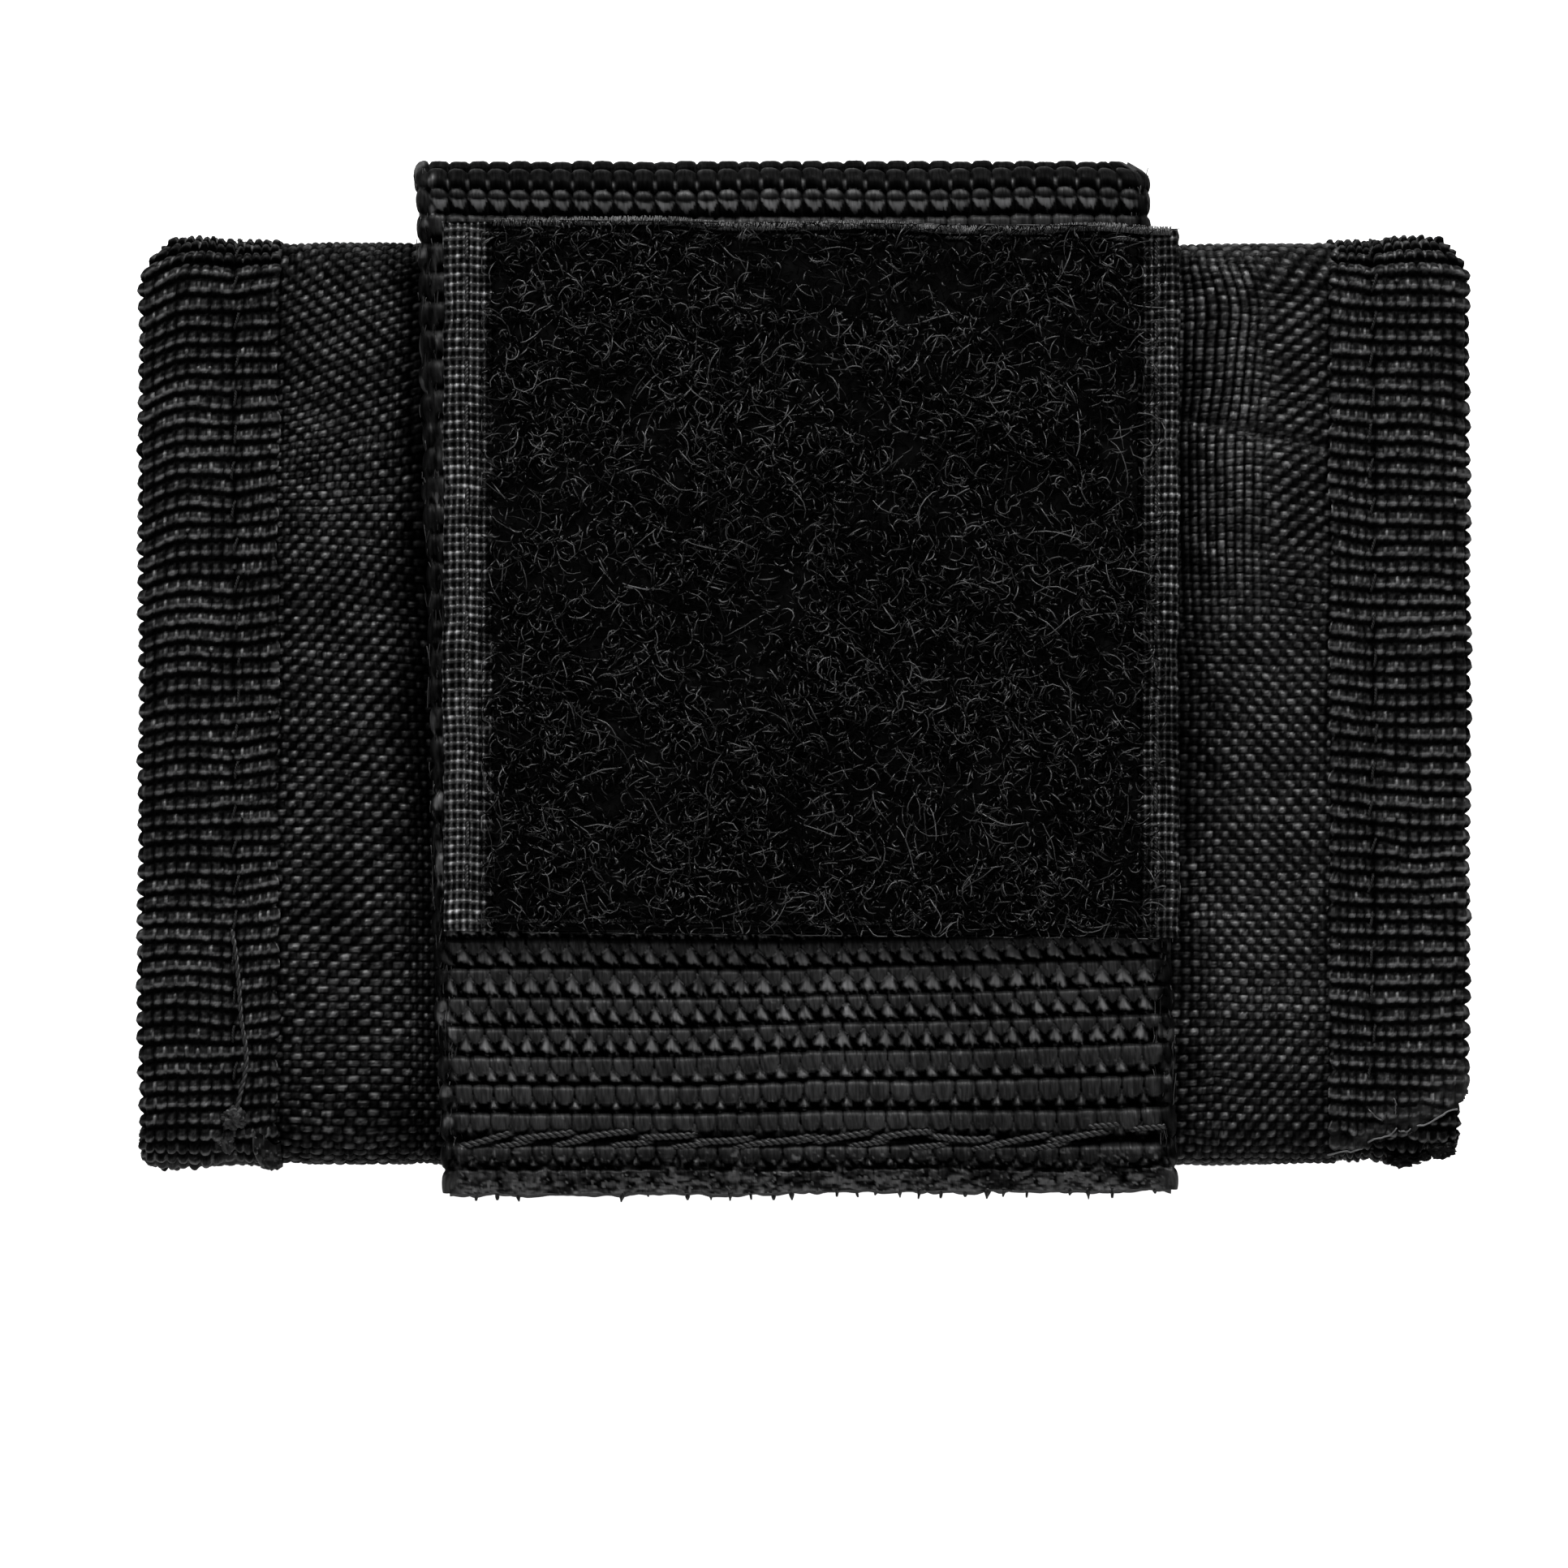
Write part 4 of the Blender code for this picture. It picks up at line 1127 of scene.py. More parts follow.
def band_ribs(x, along):
    """The ribs: tongues with triangular floats between them. Returns height and shade."""
    slope = -0.030 * (x + 4) * (1 - smooth(along, 10, 30)) * smooth(along, 1.0, 12.0)
    row_at = along + 0.35 + noise(x, along, 101, 9.0) * 0.22 + 0.2 * noise(x, along, 102, 22.0)
    row_at = (row_at + slope * np.where(x > 0, 1, 0.3)) / RIB
    row = np.floor(row_at)
    part = row_at - row  # from 0 at the rib's lower edge to 1 at its upper one
    fold = (row >= 34) & (row <= 36)
    # style: how much the triangles show in a row
    own = hash1(row, 107)
    style = np.where((row >= 5) & (row <= 9), 0.72 + 0.28 * own, 0.12 + 0.25 * own)
    style = np.where(row > 36, 0.2 + 0.6 * hash1(row, 106), style)
    style = np.where(row == 5, 0.80, np.where(row == 4, 0.50, style))
    strong = smooth(style, 0.45, 0.75)
    rest = 1 - strong
    # bundles are narrower near the left edge
    col_at = (x - 0.010 * np.clip(-x - 8, 0, 20) ** 1.5) / BUNDLE
    col_at = col_at + noise(x, along, 103, 7.0) * 0.10 + hash1(row, 104) * 0.35
    col_at = col_at + noise(along, x, 105, 1.8) * 0.05
    col = np.floor(col_at)
    off = col_at - col - 0.5

    # tongues: flat at the top of each rib, round at the bottom
    size = 0.94 + 0.12 * hash2(col, row, 108)
    nudge = (hash2(col, row, 138) - 0.5) * 0.05
    low = (0.74 + 0.12 * strong - part + nudge) / ((0.48 - 0.02 * strong) * size)
    low = np.clip(low, 0, 1)
    wide = rest * 0.50 * hump(low, 2.2) + strong * 0.485 * (1 - low**1.8) + 1e-3
    inside = (np.abs(off) <= wide) & (low < 1)
    rise = part + 0.05 * (2 * off) ** 2 + nudge - 0.66 + 0.035 * rest
    rise = hump(rise / (0.385 + 0.03 * rest), 4.0)
    tongue = rise * (0.62 + 0.38 * hump(off / wide, 4.5)) * inside
    parting = smooth(0.5 - np.abs(off), 0.0, 0.075)

    # the floats between them: triangles that widen downwards
    lean = np.where(row % 2 == 0, 0.24, 0.02) + (hash1(row, 118) - 0.5) * 0.12
    gap_at = col_at + 0.5 + (part - 0.45) * lean
    gap = np.floor(gap_at)
    gap_off = gap_at - gap - 0.5
    tuft = hash2(gap, row, 139)
    apex, base = 0.84 - 0.30 * (1 - style) - 0.06 * tuft, 0.10 + 0.10 * (1 - style)
    down = np.clip((apex - part) / (apex - base), 0, 1.15)
    wide = (0.07 + 0.43 * down**0.65) * (0.35 + 0.65 * style) * (0.88 + 0.22 * tuft)
    foot = strong * (0.03 - 0.16 * gap_off + 0.08 * noise(x, row * 3.0, 140, 0.14))
    foot = base + foot - 0.06 * rest
    tooth = hump(gap_off / wide, 2.6) * (part < apex) * smooth(part, foot - 0.05, foot + 0.05)
    dot = bell(gap_off, 0.055) * bell(part - 0.045, 0.045) * (hash1(row, 121) > 0.4)

    # at the fold the tongues' lower halves are painted lit and their upper rims get a painted
    # highlight, with dots between
    arch = part + 0.17 * (2 * (off + 0.10)) ** 2 + 0.03 * (hash2(col, row, 141) - 0.5)
    wedge = (off - 0.16 * (0.5 - part) + 0.04) / (0.13 + 0.80 * np.clip(part - 0.12, 0, 0.45))
    lit = smooth(part + 0.14 * noise(x, 0, 135, 0.16), 0.16, 0.26)
    lit = lit * smooth(part - 0.10 * (2 * off) ** 2, 0.54, 0.44)
    lit = lit * hump(wedge, 4, root=1) * (row == 34)
    rim = bell(arch - 0.90, 0.08) + 0.16 * bell(arch - 0.76, 0.16)
    rim = rim * (row >= 34) * (row <= 35) * smooth(off, 0.42, 0.0)
    folded = hump((arch - 0.54) / 0.50, 3) * (0.55 + 0.45 * hump(off / 0.498, 5.0))
    tongue = np.where(fold, folded, tongue)
    tooth = np.where(fold, 0, tooth)

    tooth_height = tooth * (0.30 + 0.42 * down)
    height = np.maximum(np.maximum(tongue * 0.86, tooth_height), dot * 0.25)
    fibre = noise(x, along * 0.15, 109, 0.12) * 0.02
    height = height * (0.93 + 0.14 * hash2(col, row, 122))
    height = height + fibre * (height > 0.1)

    strand_x = x + (part - 0.3) * lean * 1.2
    strand = 0.55 + 0.9 * patches(strand_x, along * 0.14, 119, 0.10, -0.8, 0.8)
    fuzz = 1 + 1.6 * patches(x, along * 0.4, 127, 0.16, 0.72, 0.98)
    # Tongue shade: painted shade along the partings between tongues and towards the groove above
    # each; over the fold the tongues are painted dark, with painted light only on their rims and
    # lower halves.
    tongue_shade = 0.70 * (0.85 + 0.3 * hash2(col, row, 116)) * np.minimum(tongue, 1) ** 0.8
    tongue_shade = tongue_shade * parting * smooth(part, 1.04, 0.93) * np.where(fold, 0.11, 1.0)
    # The triangles are painted bright, a painted highlight where their floats slope up towards the
    # top lamp, with painted shade at their feet.
    tooth_shade = (0.2 + 4.3 * style) * (0.7 + 0.6 * hash2(gap, row, 120)) * tooth**0.6
    tooth_shade = tooth_shade * smooth(part, foot - 0.06, foot + 0.16)
    streak = 0.45 + 0.9 * patches(strand_x, along * 0.10, 142, 0.15, -0.6, 0.6)
    shade = np.where(tooth_height > tongue * 0.86, tooth_shade * streak, tongue_shade)
    shade = shade * strand * fuzz
    lit = lit * 4.2 * strand**1.4 * (0.7 + 0.5 * hash2(col, row, 128))
    shade = np.where(row == 34, np.maximum(shade, lit), shade)
    rim = rim * parting * 1.7 * (0.5 + 0.7 * hash2(col, row, 136)) * strand
    fold_dot = (row == 35) * bell(gap_off, 0.06) * bell(part - 0.16, 0.10) * 2.2
    for glow in (rim, dot * 2.0, fold_dot):
        shade = np.maximum(shade, glow)
    # each rib's end turns round the band's side
    side = hump((part - 0.5) / 0.45, 2) * 0.28 * (0.7 + 0.6 * hash1(row, 112))
    return height, shade, side


def band_shade(x, along, shade, seam, melt, half_melt):
    """The ribs' shade with painted shade in the seam's groove, the melted end and the fuzzy edges.
    """
    shade = shade * (1 - 0.75 * seam) + 0.012
    bundles = x / BUNDLE * TAU
    coarse, fine = noise(x * 0.6, along * 1.5, 129, 0.5), noise(x * 0.6, along * 1.6, 130, 0.18)
    mottle = 0.10 + 1.25 * smooth(coarse + 0.6 * fine, -0.6, 0.9)
    cells = np.cos(bundles + 2.2 * noise(x, along, 137, 0.8))
    cells = 0.70 + 0.45 * smooth(cells, -0.6, 0.4)
    pits = noise(x, along * 1.6, 131, 0.34) + 0.25 * smooth(along, 0.7, 1.6)
    pits = 1 - 0.96 * smooth(pits, 0.10, 0.5)
    glint = 4.5 * patches(x, along, 143, 0.16, 0.55, 0.9)
    melted = 2.3 * mottle * cells * pits + glint + 1.1 * smooth(along, 0.55, 0.15) * mottle
    shade = shade * (1 - melt) + melt * melted
    specks = half_melt * patches(x, along, 132, 0.22, 0.48, 0.80) * 2.6 + half_melt * 0.04
    shade = shade * (1 - 0.6 * half_melt) + specks
    # loose upright fibres along both edges, with soft bright patches
    rim = smooth(np.abs(x), 23.9, 24.7)
    fuzzy = 0.20 + 3.6 * patches(x * 1.3, along * 0.9, 133, 0.9, 0.25, 0.75)
    fuzzy = fuzzy * (0.35 + 1.3 * patches(x, along * 0.12, 134, 0.11, -0.6, 0.8))
    fuzzy = np.where(x > 0, np.minimum(fuzzy, 1.6) * 0.7, fuzzy)
    return shade * (1 - rim) + rim * fuzzy * (1 - melt) + rim * melt * 0.8


def band_surface():
    """The band itself. Returns its points and the count of columns on its outer face."""
    # the stretch hidden by the panel is coarser
    fine = 0.118
    along = spans(
        (0, 18.4, fine), (18.4, 66.6, 0.40), (66.6, 96.0, fine), (96.0, BAND_LENGTH, 0.21)
    )[:, None]
    yz, normal = BAND_AT(along)
    y = yz[..., 0]
    end = BAND_HALF - BAND_SIDE
    line = spans((-end, end, fine))
    x, out_x, out_n, _ = strip_section(line, end, BAND_TURN, np.linspace(end, -end, BAND_BACK))
    x = (x + BAND_SIDE * out_x)[None]
    depth = BAND_WALL / 2 * (out_n - 1)
    is_top, is_side = out_n > 0.2, np.abs(out_x) > 0.1
    height, shade, side_out = band_ribs(x, along)

    # pulled down along the seam, melted at the very end
    bundles = np.cos(x / BUNDLE * TAU)
    seam = bell(along - 3.75, 0.42)
    melt = 1 - smooth(along + noise(x, 0, 124, 1.0) * 0.35 + 0.22 * bundles, 1.0, 1.9)
    half_melt = bell(along - 2.4, 0.55)
    lumps = noise(x, along, 110, 0.7) * 0.12 + noise(x, along, 111, 0.25) * 0.07
    lumps = lumps + np.abs(noise(x, along * 0.3, 125, 0.42)) * 0.16
    ridge = np.maximum(0, bundles) ** 2 * smooth(along, 0.35, 0.9) * 0.14
    front = height * 0.80 * (1 - melt) * (1 - 0.55 * seam) - 0.30 * seam - 0.52
    front = front + melt * (0.12 + lumps + ridge) + half_melt * noise(x, along, 126, 0.45) * 0.10
    out = np.where(is_side, side_out - 0.15, np.where(is_top, front, 0.0))
    taper = 0.3 * (1 - smooth(along, 0.0, 1.6))
    move = depth + np.where(depth < -BAND_WALL * 0.6, taper, -taper) + out * out_n
    end_wave = noise(x, 0, 113, 6.0) * 0.20 + noise(x, 0, 114, 1.3) * 0.08 - 0.10
    y_out = y + normal[..., 0] * move - end_wave * (1 - smooth(along, 0, 3))
    swell = noise(along, np.sign(x) * 9, 115, 6.0) * 0.22 * smooth(np.abs(x), 15, 25)
    # the fold's right corner is worn round
    worn = 1.2 * smooth(y_out, 35.9, 37.7) ** 2 * smooth(x, 21.5, 24.6)
    points = stack(
        band_middle(y) + x + out * out_x + swell * np.sign(x) - worn,
        y_out,
        yz[..., 1] + normal[..., 1] * move,
    )
    shade = band_shade(x, along, shade, seam, melt, half_melt)
    shade = np.where(is_top, shade, np.where(is_side, 0.35, 0.7))
    grid("elastic_band_weave", points, "elastic_cloth", (x, along), shade,
         close_v=True, flip=True, replaces="elastic_band")
    return points, len(line)


def band_end(label, row, count, push):
    """Closes a cut end between the outer columns and the inner ones."""
    start = count + BAND_TURN - 1
    inner = row[start : start + BAND_BACK][::-1]
    pick = np.linspace(0, BAND_BACK - 1, count)
    under = stack(*(np.interp(pick, np.arange(BAND_BACK), line) for line in inner.T))
    outer = row[:count]
    strip = outer + (under - outer) * np.linspace(0, 1, 8)[:, None, None]
    rough = noise(np.arange(count)[None] * 0.13, np.arange(8)[:, None] * 0.5, 117)
    strip[1:-1, :, 1] += rough[1:-1] * 0.15 + push
    grid(f"band_end_{label}", strip, "melted_edge", (strip[..., 0], strip[..., 1]),
         1.2, flip=label == "front")


def band_drops(line, rng):
    """Drops of melted elastic hang from the front end, at most one to a bundle."""
    paths, radii = [], []
    along = np.linspace(0, 1, 7)
    for x in np.arange(-23.2, 24.2, BUNDLE):
        if rng.uniform() < (0.45 if x < -10 or x > 18 else 0.12):
            continue
        x = x + rng.normal(0, 0.10)
        root = np.array([np.interp(x - 0.5 + 0.9, line[:, 0], line[:, k]) for k in range(3)])
        drop = rng.uniform(0.30, 0.62)
        way = np.array([rng.normal(0, 0.10), -drop - 0.18, rng.uniform(-0.15, 0.05)])
        paths.append(root + np.array([0, 0.18, -0.18]) + along[:, None] * way)
        taper = (1 - along**1.6 * 0.72) * (1 + 0.25 * np.sin(along * 5 + x))
        radii.append(rng.uniform(0.16, 0.24) * taper)
    tubes("band_end_drops", paths, np.array(radii), "melted_drops", sides=8)


def band_fibres(rng):
    """Single filaments lift off both edges of the front."""
    count = 520
    along = np.linspace(0, 1, 6)[None]
    side = rng.choice([-1, 1], count, p=[0.6, 0.4])
    yz, normal = BAND_AT(rng.uniform(3.0, 71.0, count))
    keep = normal[:, 1] > 0.6
    side, (y, z) = side[keep], yz[keep].T
    count = len(y)
    column = (count, 1)
    x = band_middle(y) + side * rng.uniform(24.0, 25.5, count)
    length = rng.gamma(3, 0.33, count)[:, None]
    x = x[:, None] + rng.normal(0, 0.10, column) * along
    x = x + np.sin(along * 3 + rng.uniform(0, 6, column)) * 0.06
    y = y[:, None] + (along - 0.5) * length
    z = z[:, None] - 0.18 + np.sin(along * math.pi) * rng.uniform(0.02, 0.16, column)
    shade = np.clip(rng.beta(1.0, 3.0, count) * 4.2 + 0.1, 0, 3.4)
    tubes("band_edge_fibres", stack(x, y, z), 0.035, "pile_fibre", sides=3,
          shade=shade, cap=False)


def band():
    points, count = band_surface()
    band_end("front", points[0], count, push=-0.15)
    band_end("rear", points[-1], count, push=-0.1)
    rng = np.random.default_rng(131)
    band_drops(points[0][:count], rng)
    band_fibres(rng)


# -------------------------------------------------------------- the panel
def panel_y(x, y):
    """y on the panel, which sits a little askew."""
    return y - 0.010 * (x - 0.5)


def panel_ground():
    """The backing: woven selvedges left and right, dark under the pile."""
    left, right = PANEL_LEFT + 3.8, PANEL_RIGHT - 3.6
    x = spans((PANEL_LEFT, left, 0.075), (left, right, 0.5), (right, PANEL_RIGHT, 0.08))[:, None]
    y = spans((PANEL_BOTTOM, PANEL_TOP, 0.098))[None]
    # an open grid: threads both ways round small dark holes, with bright knots
    pitch_x, pitch_y = 0.47, 0.635
    col_at = (x + noise(x, y, 201, 3) * 0.08) / pitch_x
    row_at = (y + noise(x, y, 202, 4.0) * 0.16 + 0.05 * np.sin(x * 2.2)) / pitch_y
    col, row = np.round(col_at), np.round(row_at)
    col_off, row_off = np.abs(col_at - col), np.abs(row_at - row)
    # threads upright at whole columns, level threads at whole rows
    upright, level = bell(col_off, 0.25), bell(row_off, 0.20)
    height = 0.24 * np.maximum(upright * 0.8, level) + 0.06 * upright * level
    upright_own = 0.55 + 0.45 * hash2(col, np.floor(row_at), 211)
    level_own = 0.55 + 0.45 * hash2(np.floor(col_at), row, 212)
    knot = bell(col_off, 0.19) * bell(row_off, 0.14)
    knot = knot * (1.0 + 21.0 * smooth(hash2(col, row, 207), 0.60, 1.0))
    shade = 0.02 + 1.25 * upright**1.5 * upright_own**2 + 0.60 * level**1.5 * level_own**2
    shade = (shade + knot) * (0.65 + 0.7 * patches(x, y, 208, 1.4, -0.8, 0.8))
    shade = shade * (0.7 + 0.6 * patches(x, y, 213, 0.17, -0.7, 0.7))
    fringe = noise(y, 3, 204, 0.5) * 0.06 + noise(y, 3, 205, 3.0) * 0.10
    edge_x = np.minimum(x - PANEL_LEFT, PANEL_RIGHT - x)
    edge = np.minimum(edge_x, np.minimum(y - PANEL_BOTTOM, PANEL_TOP - y))
    z = PANEL_Z + 0.50 + height - 0.25 * (1 - smooth(edge, 0, 0.2)) + noise(x, y, 206, 9) * 0.08
    # a pressed line down the right selvedge
    press = x - (PANEL_RIGHT - 3.0)
    z = z - 0.22 * bell(press, 0.30)
    points = stack(x + fringe * (np.abs(x - 0.5) > 24.8), panel_y(x, y), z)
    shade = shade * np.where(x > 0, 0.62 + 0.25 * smooth(y, -5, 15), 1.12)
    # painted shade in the pressed line
    shade = shade * (1 - 0.8 * bell(press, 0.25))
    # the grid breaks up where the pile begins
    inner = smooth(PANEL_RIGHT - x, 1.8, 3.0)
    inner = np.where(x < 0, smooth(x - PANEL_LEFT, 2.2, 3.4), inner)
    shade = shade * (1 - inner * smooth(noise(x, y, 214, 0.7) + inner * 0.9, 0.1, 0.7))
    shade = np.where((x > PANEL_LEFT + 3.6) & (x < PANEL_RIGHT - 3.4), 0.05, shade)
    grid("loop_panel_ground", points, "selvedge_cloth", (x, y), shade,
         level > upright, replaces="loop_panel")


def panel_edge():
    count = 160  # points along each side
    wide, tall = np.linspace(PANEL_LEFT, PANEL_RIGHT, count), np.full(count - 2, 1.0)
    x = np.concatenate([wide, tall * PANEL_RIGHT, wide[::-1], tall * PANEL_LEFT])
    tall, wide = np.linspace(PANEL_BOTTOM, PANEL_TOP, count)[1:-1], np.full(count, 1.0)
    y = np.concatenate([wide * PANEL_BOTTOM, tall, wide * PANEL_TOP, tall[::-1]])
    rise = np.array([0.0, 0.15, 0.3, 0.45, 0.58])[:, None]
    ragged = noise(x * 2.1, y * 2.1, 215, 0.5) * 0.05 * rise
    wall = stack(x + ragged, panel_y(x, y) + ragged, PANEL_Z + rise)
    grid("loop_panel_edge", wall, "inner_cloth", (wall[..., 0], wall[..., 1]),
         0.6, close_v=True, flip=True)


def panel_fray():
    """The cut upper edge frays into a pale fringe over the band's fold."""
    rng = np.random.default_rng(209)
    count = 2600
    x = rng.uniform(-21.5, PANEL_RIGHT - 0.6, count)
    x = x[rng.uniform(0, 1, count) < np.clip(0.25 + smooth(x, -18, -8), 0, 1)][:, None]
    count = len(x)
    along = np.linspace(0, 1, 4)[None]
    y = panel_y(x, PANEL_TOP) + 0.25 * noise(x, 0, 216, 5.0) - 0.30
    y = y + along * rng.uniform(0.25, 0.62, count)[:, None]
    bent_x = x + rng.normal(0, 0.10, (count, 1)) * along
    z = PANEL_Z + 0.62 + rng.uniform(0, 0.35, (count, 1))
    z = z + 0.10 * np.sin(along * math.pi) - 0.12 * along
    shade = 1.2 + 2.6 * rng.beta(1.4, 1.6, count)
    shade = shade * (0.45 + 0.55 * patches(x[:, 0], 0, 217, 2.2, -0.6, 0.5))
    tubes("loop_panel_fray", stack(bent_x, y, z), 0.05, "pile_fibre", sides=3,
          shade=shade, cap=False)


PILE_LEFT, PILE_RIGHT = PANEL_LEFT + 2.9, PANEL_RIGHT - 1.4
PILE_BOTTOM, PILE_TOP = PANEL_BOTTOM + 0.15, PANEL_TOP - 0.2


def pile_ground():
    """A lumpy ground that the fibres stand on, painted nearly black: painted shade under the pile.
    """
    right, bottom, top, step = PILE_RIGHT - 1.4, PILE_BOTTOM + 0.4, PILE_TOP - 0.4, 0.35
    x, y = spans((PILE_LEFT, right, step))[:, None], spans((bottom, top, step))[None]
    edge = np.minimum(np.minimum(x - PILE_LEFT, right - x), np.minimum(y - bottom, top - y))
    lump = 0.35 + 0.22 * noise(x, y, 301, 1.1) + 0.12 * noise(x, y, 302, 0.5)
    points = stack(x, panel_y(x, y), PANEL_Z + 0.45 + smooth(edge, 0, 1.0) * lump)
    grid("loop_pile_ground", points, "pile_base", (x, y), 1)


def pile_fibres():
    rng = np.random.default_rng(77)
    most, rings = 26000, 7
    x = rng.uniform(PILE_LEFT, PILE_RIGHT, most * 2)
    y = rng.uniform(PILE_BOTTOM, PILE_TOP, most * 2)
    density = 0.65 + 0.35 * noise(x, y, 303, 2.2) + 0.2 * noise(x, y, 304, 6.0)
    density *= smooth(x, PILE_LEFT - 0.2, PILE_LEFT + 1.5) * 0.8 + 0.2
    density *= 1 - 0.75 * smooth(x, PILE_RIGHT - 2.6, PILE_RIGHT - 0.4)
    keep = rng.uniform(0, 1, most * 2) < density
    x, y = x[keep][:most], y[keep][:most]
    count = len(x)
    length = rng.gamma(2.4, 0.42, count)
    length = length * np.where(rng.uniform(0, 1, count) < 0.08, 2.6, 1.0)
    length = np.clip(length, 0.35, 4.2)
    heading = rng.uniform(0, TAU, count) + 0.6 * noise(x, y, 305, 3.0)
    turn = rng.normal(0, 1.0, count) * 1.5 / np.sqrt(length)
    rise = rng.uniform(0.2, 1.0, count)
    along = np.linspace(0, 1, rings)[None]
    angle = heading[:, None] + turn[:, None] * length[:, None] * (along - 0.5)
    angle = angle + rng.normal(0, 0.25, (count, rings)).cumsum(1) * 0.5
    step = length[:, None] / (rings - 1)
    path_x = x[:, None] + np.cumsum(np.cos(angle) * step, 1)
    path_y = y[:, None] + np.cumsum(np.sin(angle) * step, 1)
    tall = 0.5 + 0.75 * rise * (0.8 + 0.2 * noise(x, y, 301, 1.1))
    arch = np.sin(along * math.pi * rng.uniform(0.6, 1.0, count)[:, None]) * 0.75
    arch = arch + 0.2 * rng.uniform(0, 1, (count, 1))
    z = PANEL_Z + 0.55 + arch * tall[:, None]
    path_x = np.clip(path_x, PILE_LEFT - 0.25, PILE_RIGHT + 0.4)
    path_y = np.clip(path_y, PILE_BOTTOM - 0.2, PILE_TOP + 0.3)
    high = np.clip(z.mean(1) - (PANEL_Z + 0.55), 0, 0.9)
    # few fibres are bright; the low ones are painted darker than the high, painted shade deep in
    # the pile
    shade = 22.0 * rng.beta(0.48, 4.4, count) ** 1.45 * (0.02 + 1.75 * high) - 0.10
    shade = np.clip(shade, 0.006, 8.0) * (0.55 + 0.45 * patches(x, y, 306, 2.6, -0.5, 0.6))
    taper = 1 - 0.3 * np.abs(along * 2 - 1) ** 3
    radii = rng.uniform(0.036, 0.060, count)[:, None] * taper
    tubes("loop_fibres", stack(path_x, panel_y(path_x, path_y), z), radii, "pile_fibre",
          sides=3, shade=shade, cap=False)


def panel():
    panel_ground()
    panel_edge()
    panel_fray()
    pile_ground()
    pile_fibres()


# ---------------------------------------------------------------- stitches
def stitches(name, line, length, pitch, radius, duty, seed, sink=0.25, slant=0.0, wander=0.1,
             material="stitch_thread", body="carrier", skip=None, replaces=None):
    """A run of lockstitches, each two plies twisted together. line(station) gives points and
    the directions sideways and up; duty is the share of the pitch a stitch covers."""
    rings = max(20, int(pitch * duty / (radius * 0.55)))
    paths = []
    rng = np.random.default_rng(seed)
    for count in range(int(length / pitch)):
        start = (count + 0.5 - duty / 2) * pitch + rng.normal(0, 0.03) * pitch
        end = (count + 0.5 + duty / 2) * pitch + rng.normal(0, 0.03) * pitch
        station = np.linspace(start, end, rings)
        points, side, up = line(np.clip(station, 0, length))
        if skip is not None and skip(points.mean(0)):
            continue
        part = np.linspace(-1, 1, rings)
        lift = 0.28 * (1 - part**4) - sink * np.abs(part) ** 6 * 2.0
        sway = slant * part + rng.normal(0, wander)
        core = points + up * (lift * radius * 4)[:, None] + side * sway[:, None]
        for ply in (0, math.pi):
            phase = (station / (radius * 4.2) * TAU + ply)[:, None]
            paths.append(core + (side * np.cos(phase) + up * np.sin(phase)) * radius * 0.55)
    tubes(name, paths, radius * 0.62, material, sides=6, body=body, replaces=replaces)


def straight(place, side, up):
    """A stitch line whose directions stay the same."""
    return lambda station: (stack(*place(station)), side, up)


def front_stitches(name, x0, x1, y_at, depth, **settings):
    def place(station):
        return x0 + station, y_at(x0 + station), BAND_FRONT - depth

    stitches(name, straight(place, Y_AXIS, Z_AXIS), x1 - x0, **settings)


def band_stitches():
    front_stitches(
        "band_front_stitches", -24.0, 24.9,
        lambda x: -30.05 + 0.22 * np.sin(x / 3.1) + 0.2 * noise(x, 0, 401, 4.0),
        depth=0.15, pitch=4.1, radius=0.23, duty=1.10, seed=3, slant=0.24, wander=0.05,
        replaces="band_front_seam",
    )
    front_stitches(
        "band_front_stitches_second", -22.2, 20.0,
        lambda x: -30.45 + 0.20 * np.sin(x / 3.1 + 0.4) + 0.2 * noise(x, 0, 402, 4.0),
        depth=0.22, pitch=4.1, radius=0.20, duty=0.74, seed=4, slant=0.20, wander=0.05,
    )
    front_stitches(
        "band_front_backstitch", 19.2, 25.2, lambda x: -29.1 - 0.35 * (x - 19.0) / 6.0,
        depth=0.15, pitch=3.0, radius=0.21, duty=0.95, seed=5, slant=0.2,
    )
    rear = straight(lambda station: (station - 23.7, -31.0, REAR_LIFT + 0.15), Y_AXIS, -Z_AXIS)
    stitches("band_rear_stitches", rear, length=49.0, pitch=4.15, radius=0.28, duty=0.9,
             seed=7, replaces="band_rear_seam")


def sleeve_stitches():
    bottom = straight(lambda station: (station - 35.6, -31.75, FRONT_Z - 4.2), Z_AXIS, -Y_AXIS)
    stitches("sleeve_bottom_stitches", bottom, length=71.2, pitch=3.0, radius=0.2, duty=0.85,
             seed=9, replaces="sleeve_bottom_seam")


def tape_stitches(side, sign):
    length, outline = sleeve_outline(0.42)
    free_below = -27.9 if sign < 0 else -26.9  # the seam is open below this on the front

    def line(station):
        yz, normal = outline(station)
        x = sign * SEAM_X + 0.10 * np.sin(station / 5.0) + 0.07 * np.sin(station * 2.1)
        up = stack(0, normal[:, 0], normal[:, 1])
        return stack(x, yz[:, 0], yz[:, 1]), X_AXIS, up

    stitches(
        f"binding_stitches_{side}", line, length, pitch=2.6, radius=0.095, duty=0.60,
        seed=11 + sign, sink=1.5, slant=0.14, material="fine_thread",
        skip=lambda point: point[2] > BACK_Z + 3 and point[1] < free_below,
        replaces=f"binding_thread_{side}",
    )


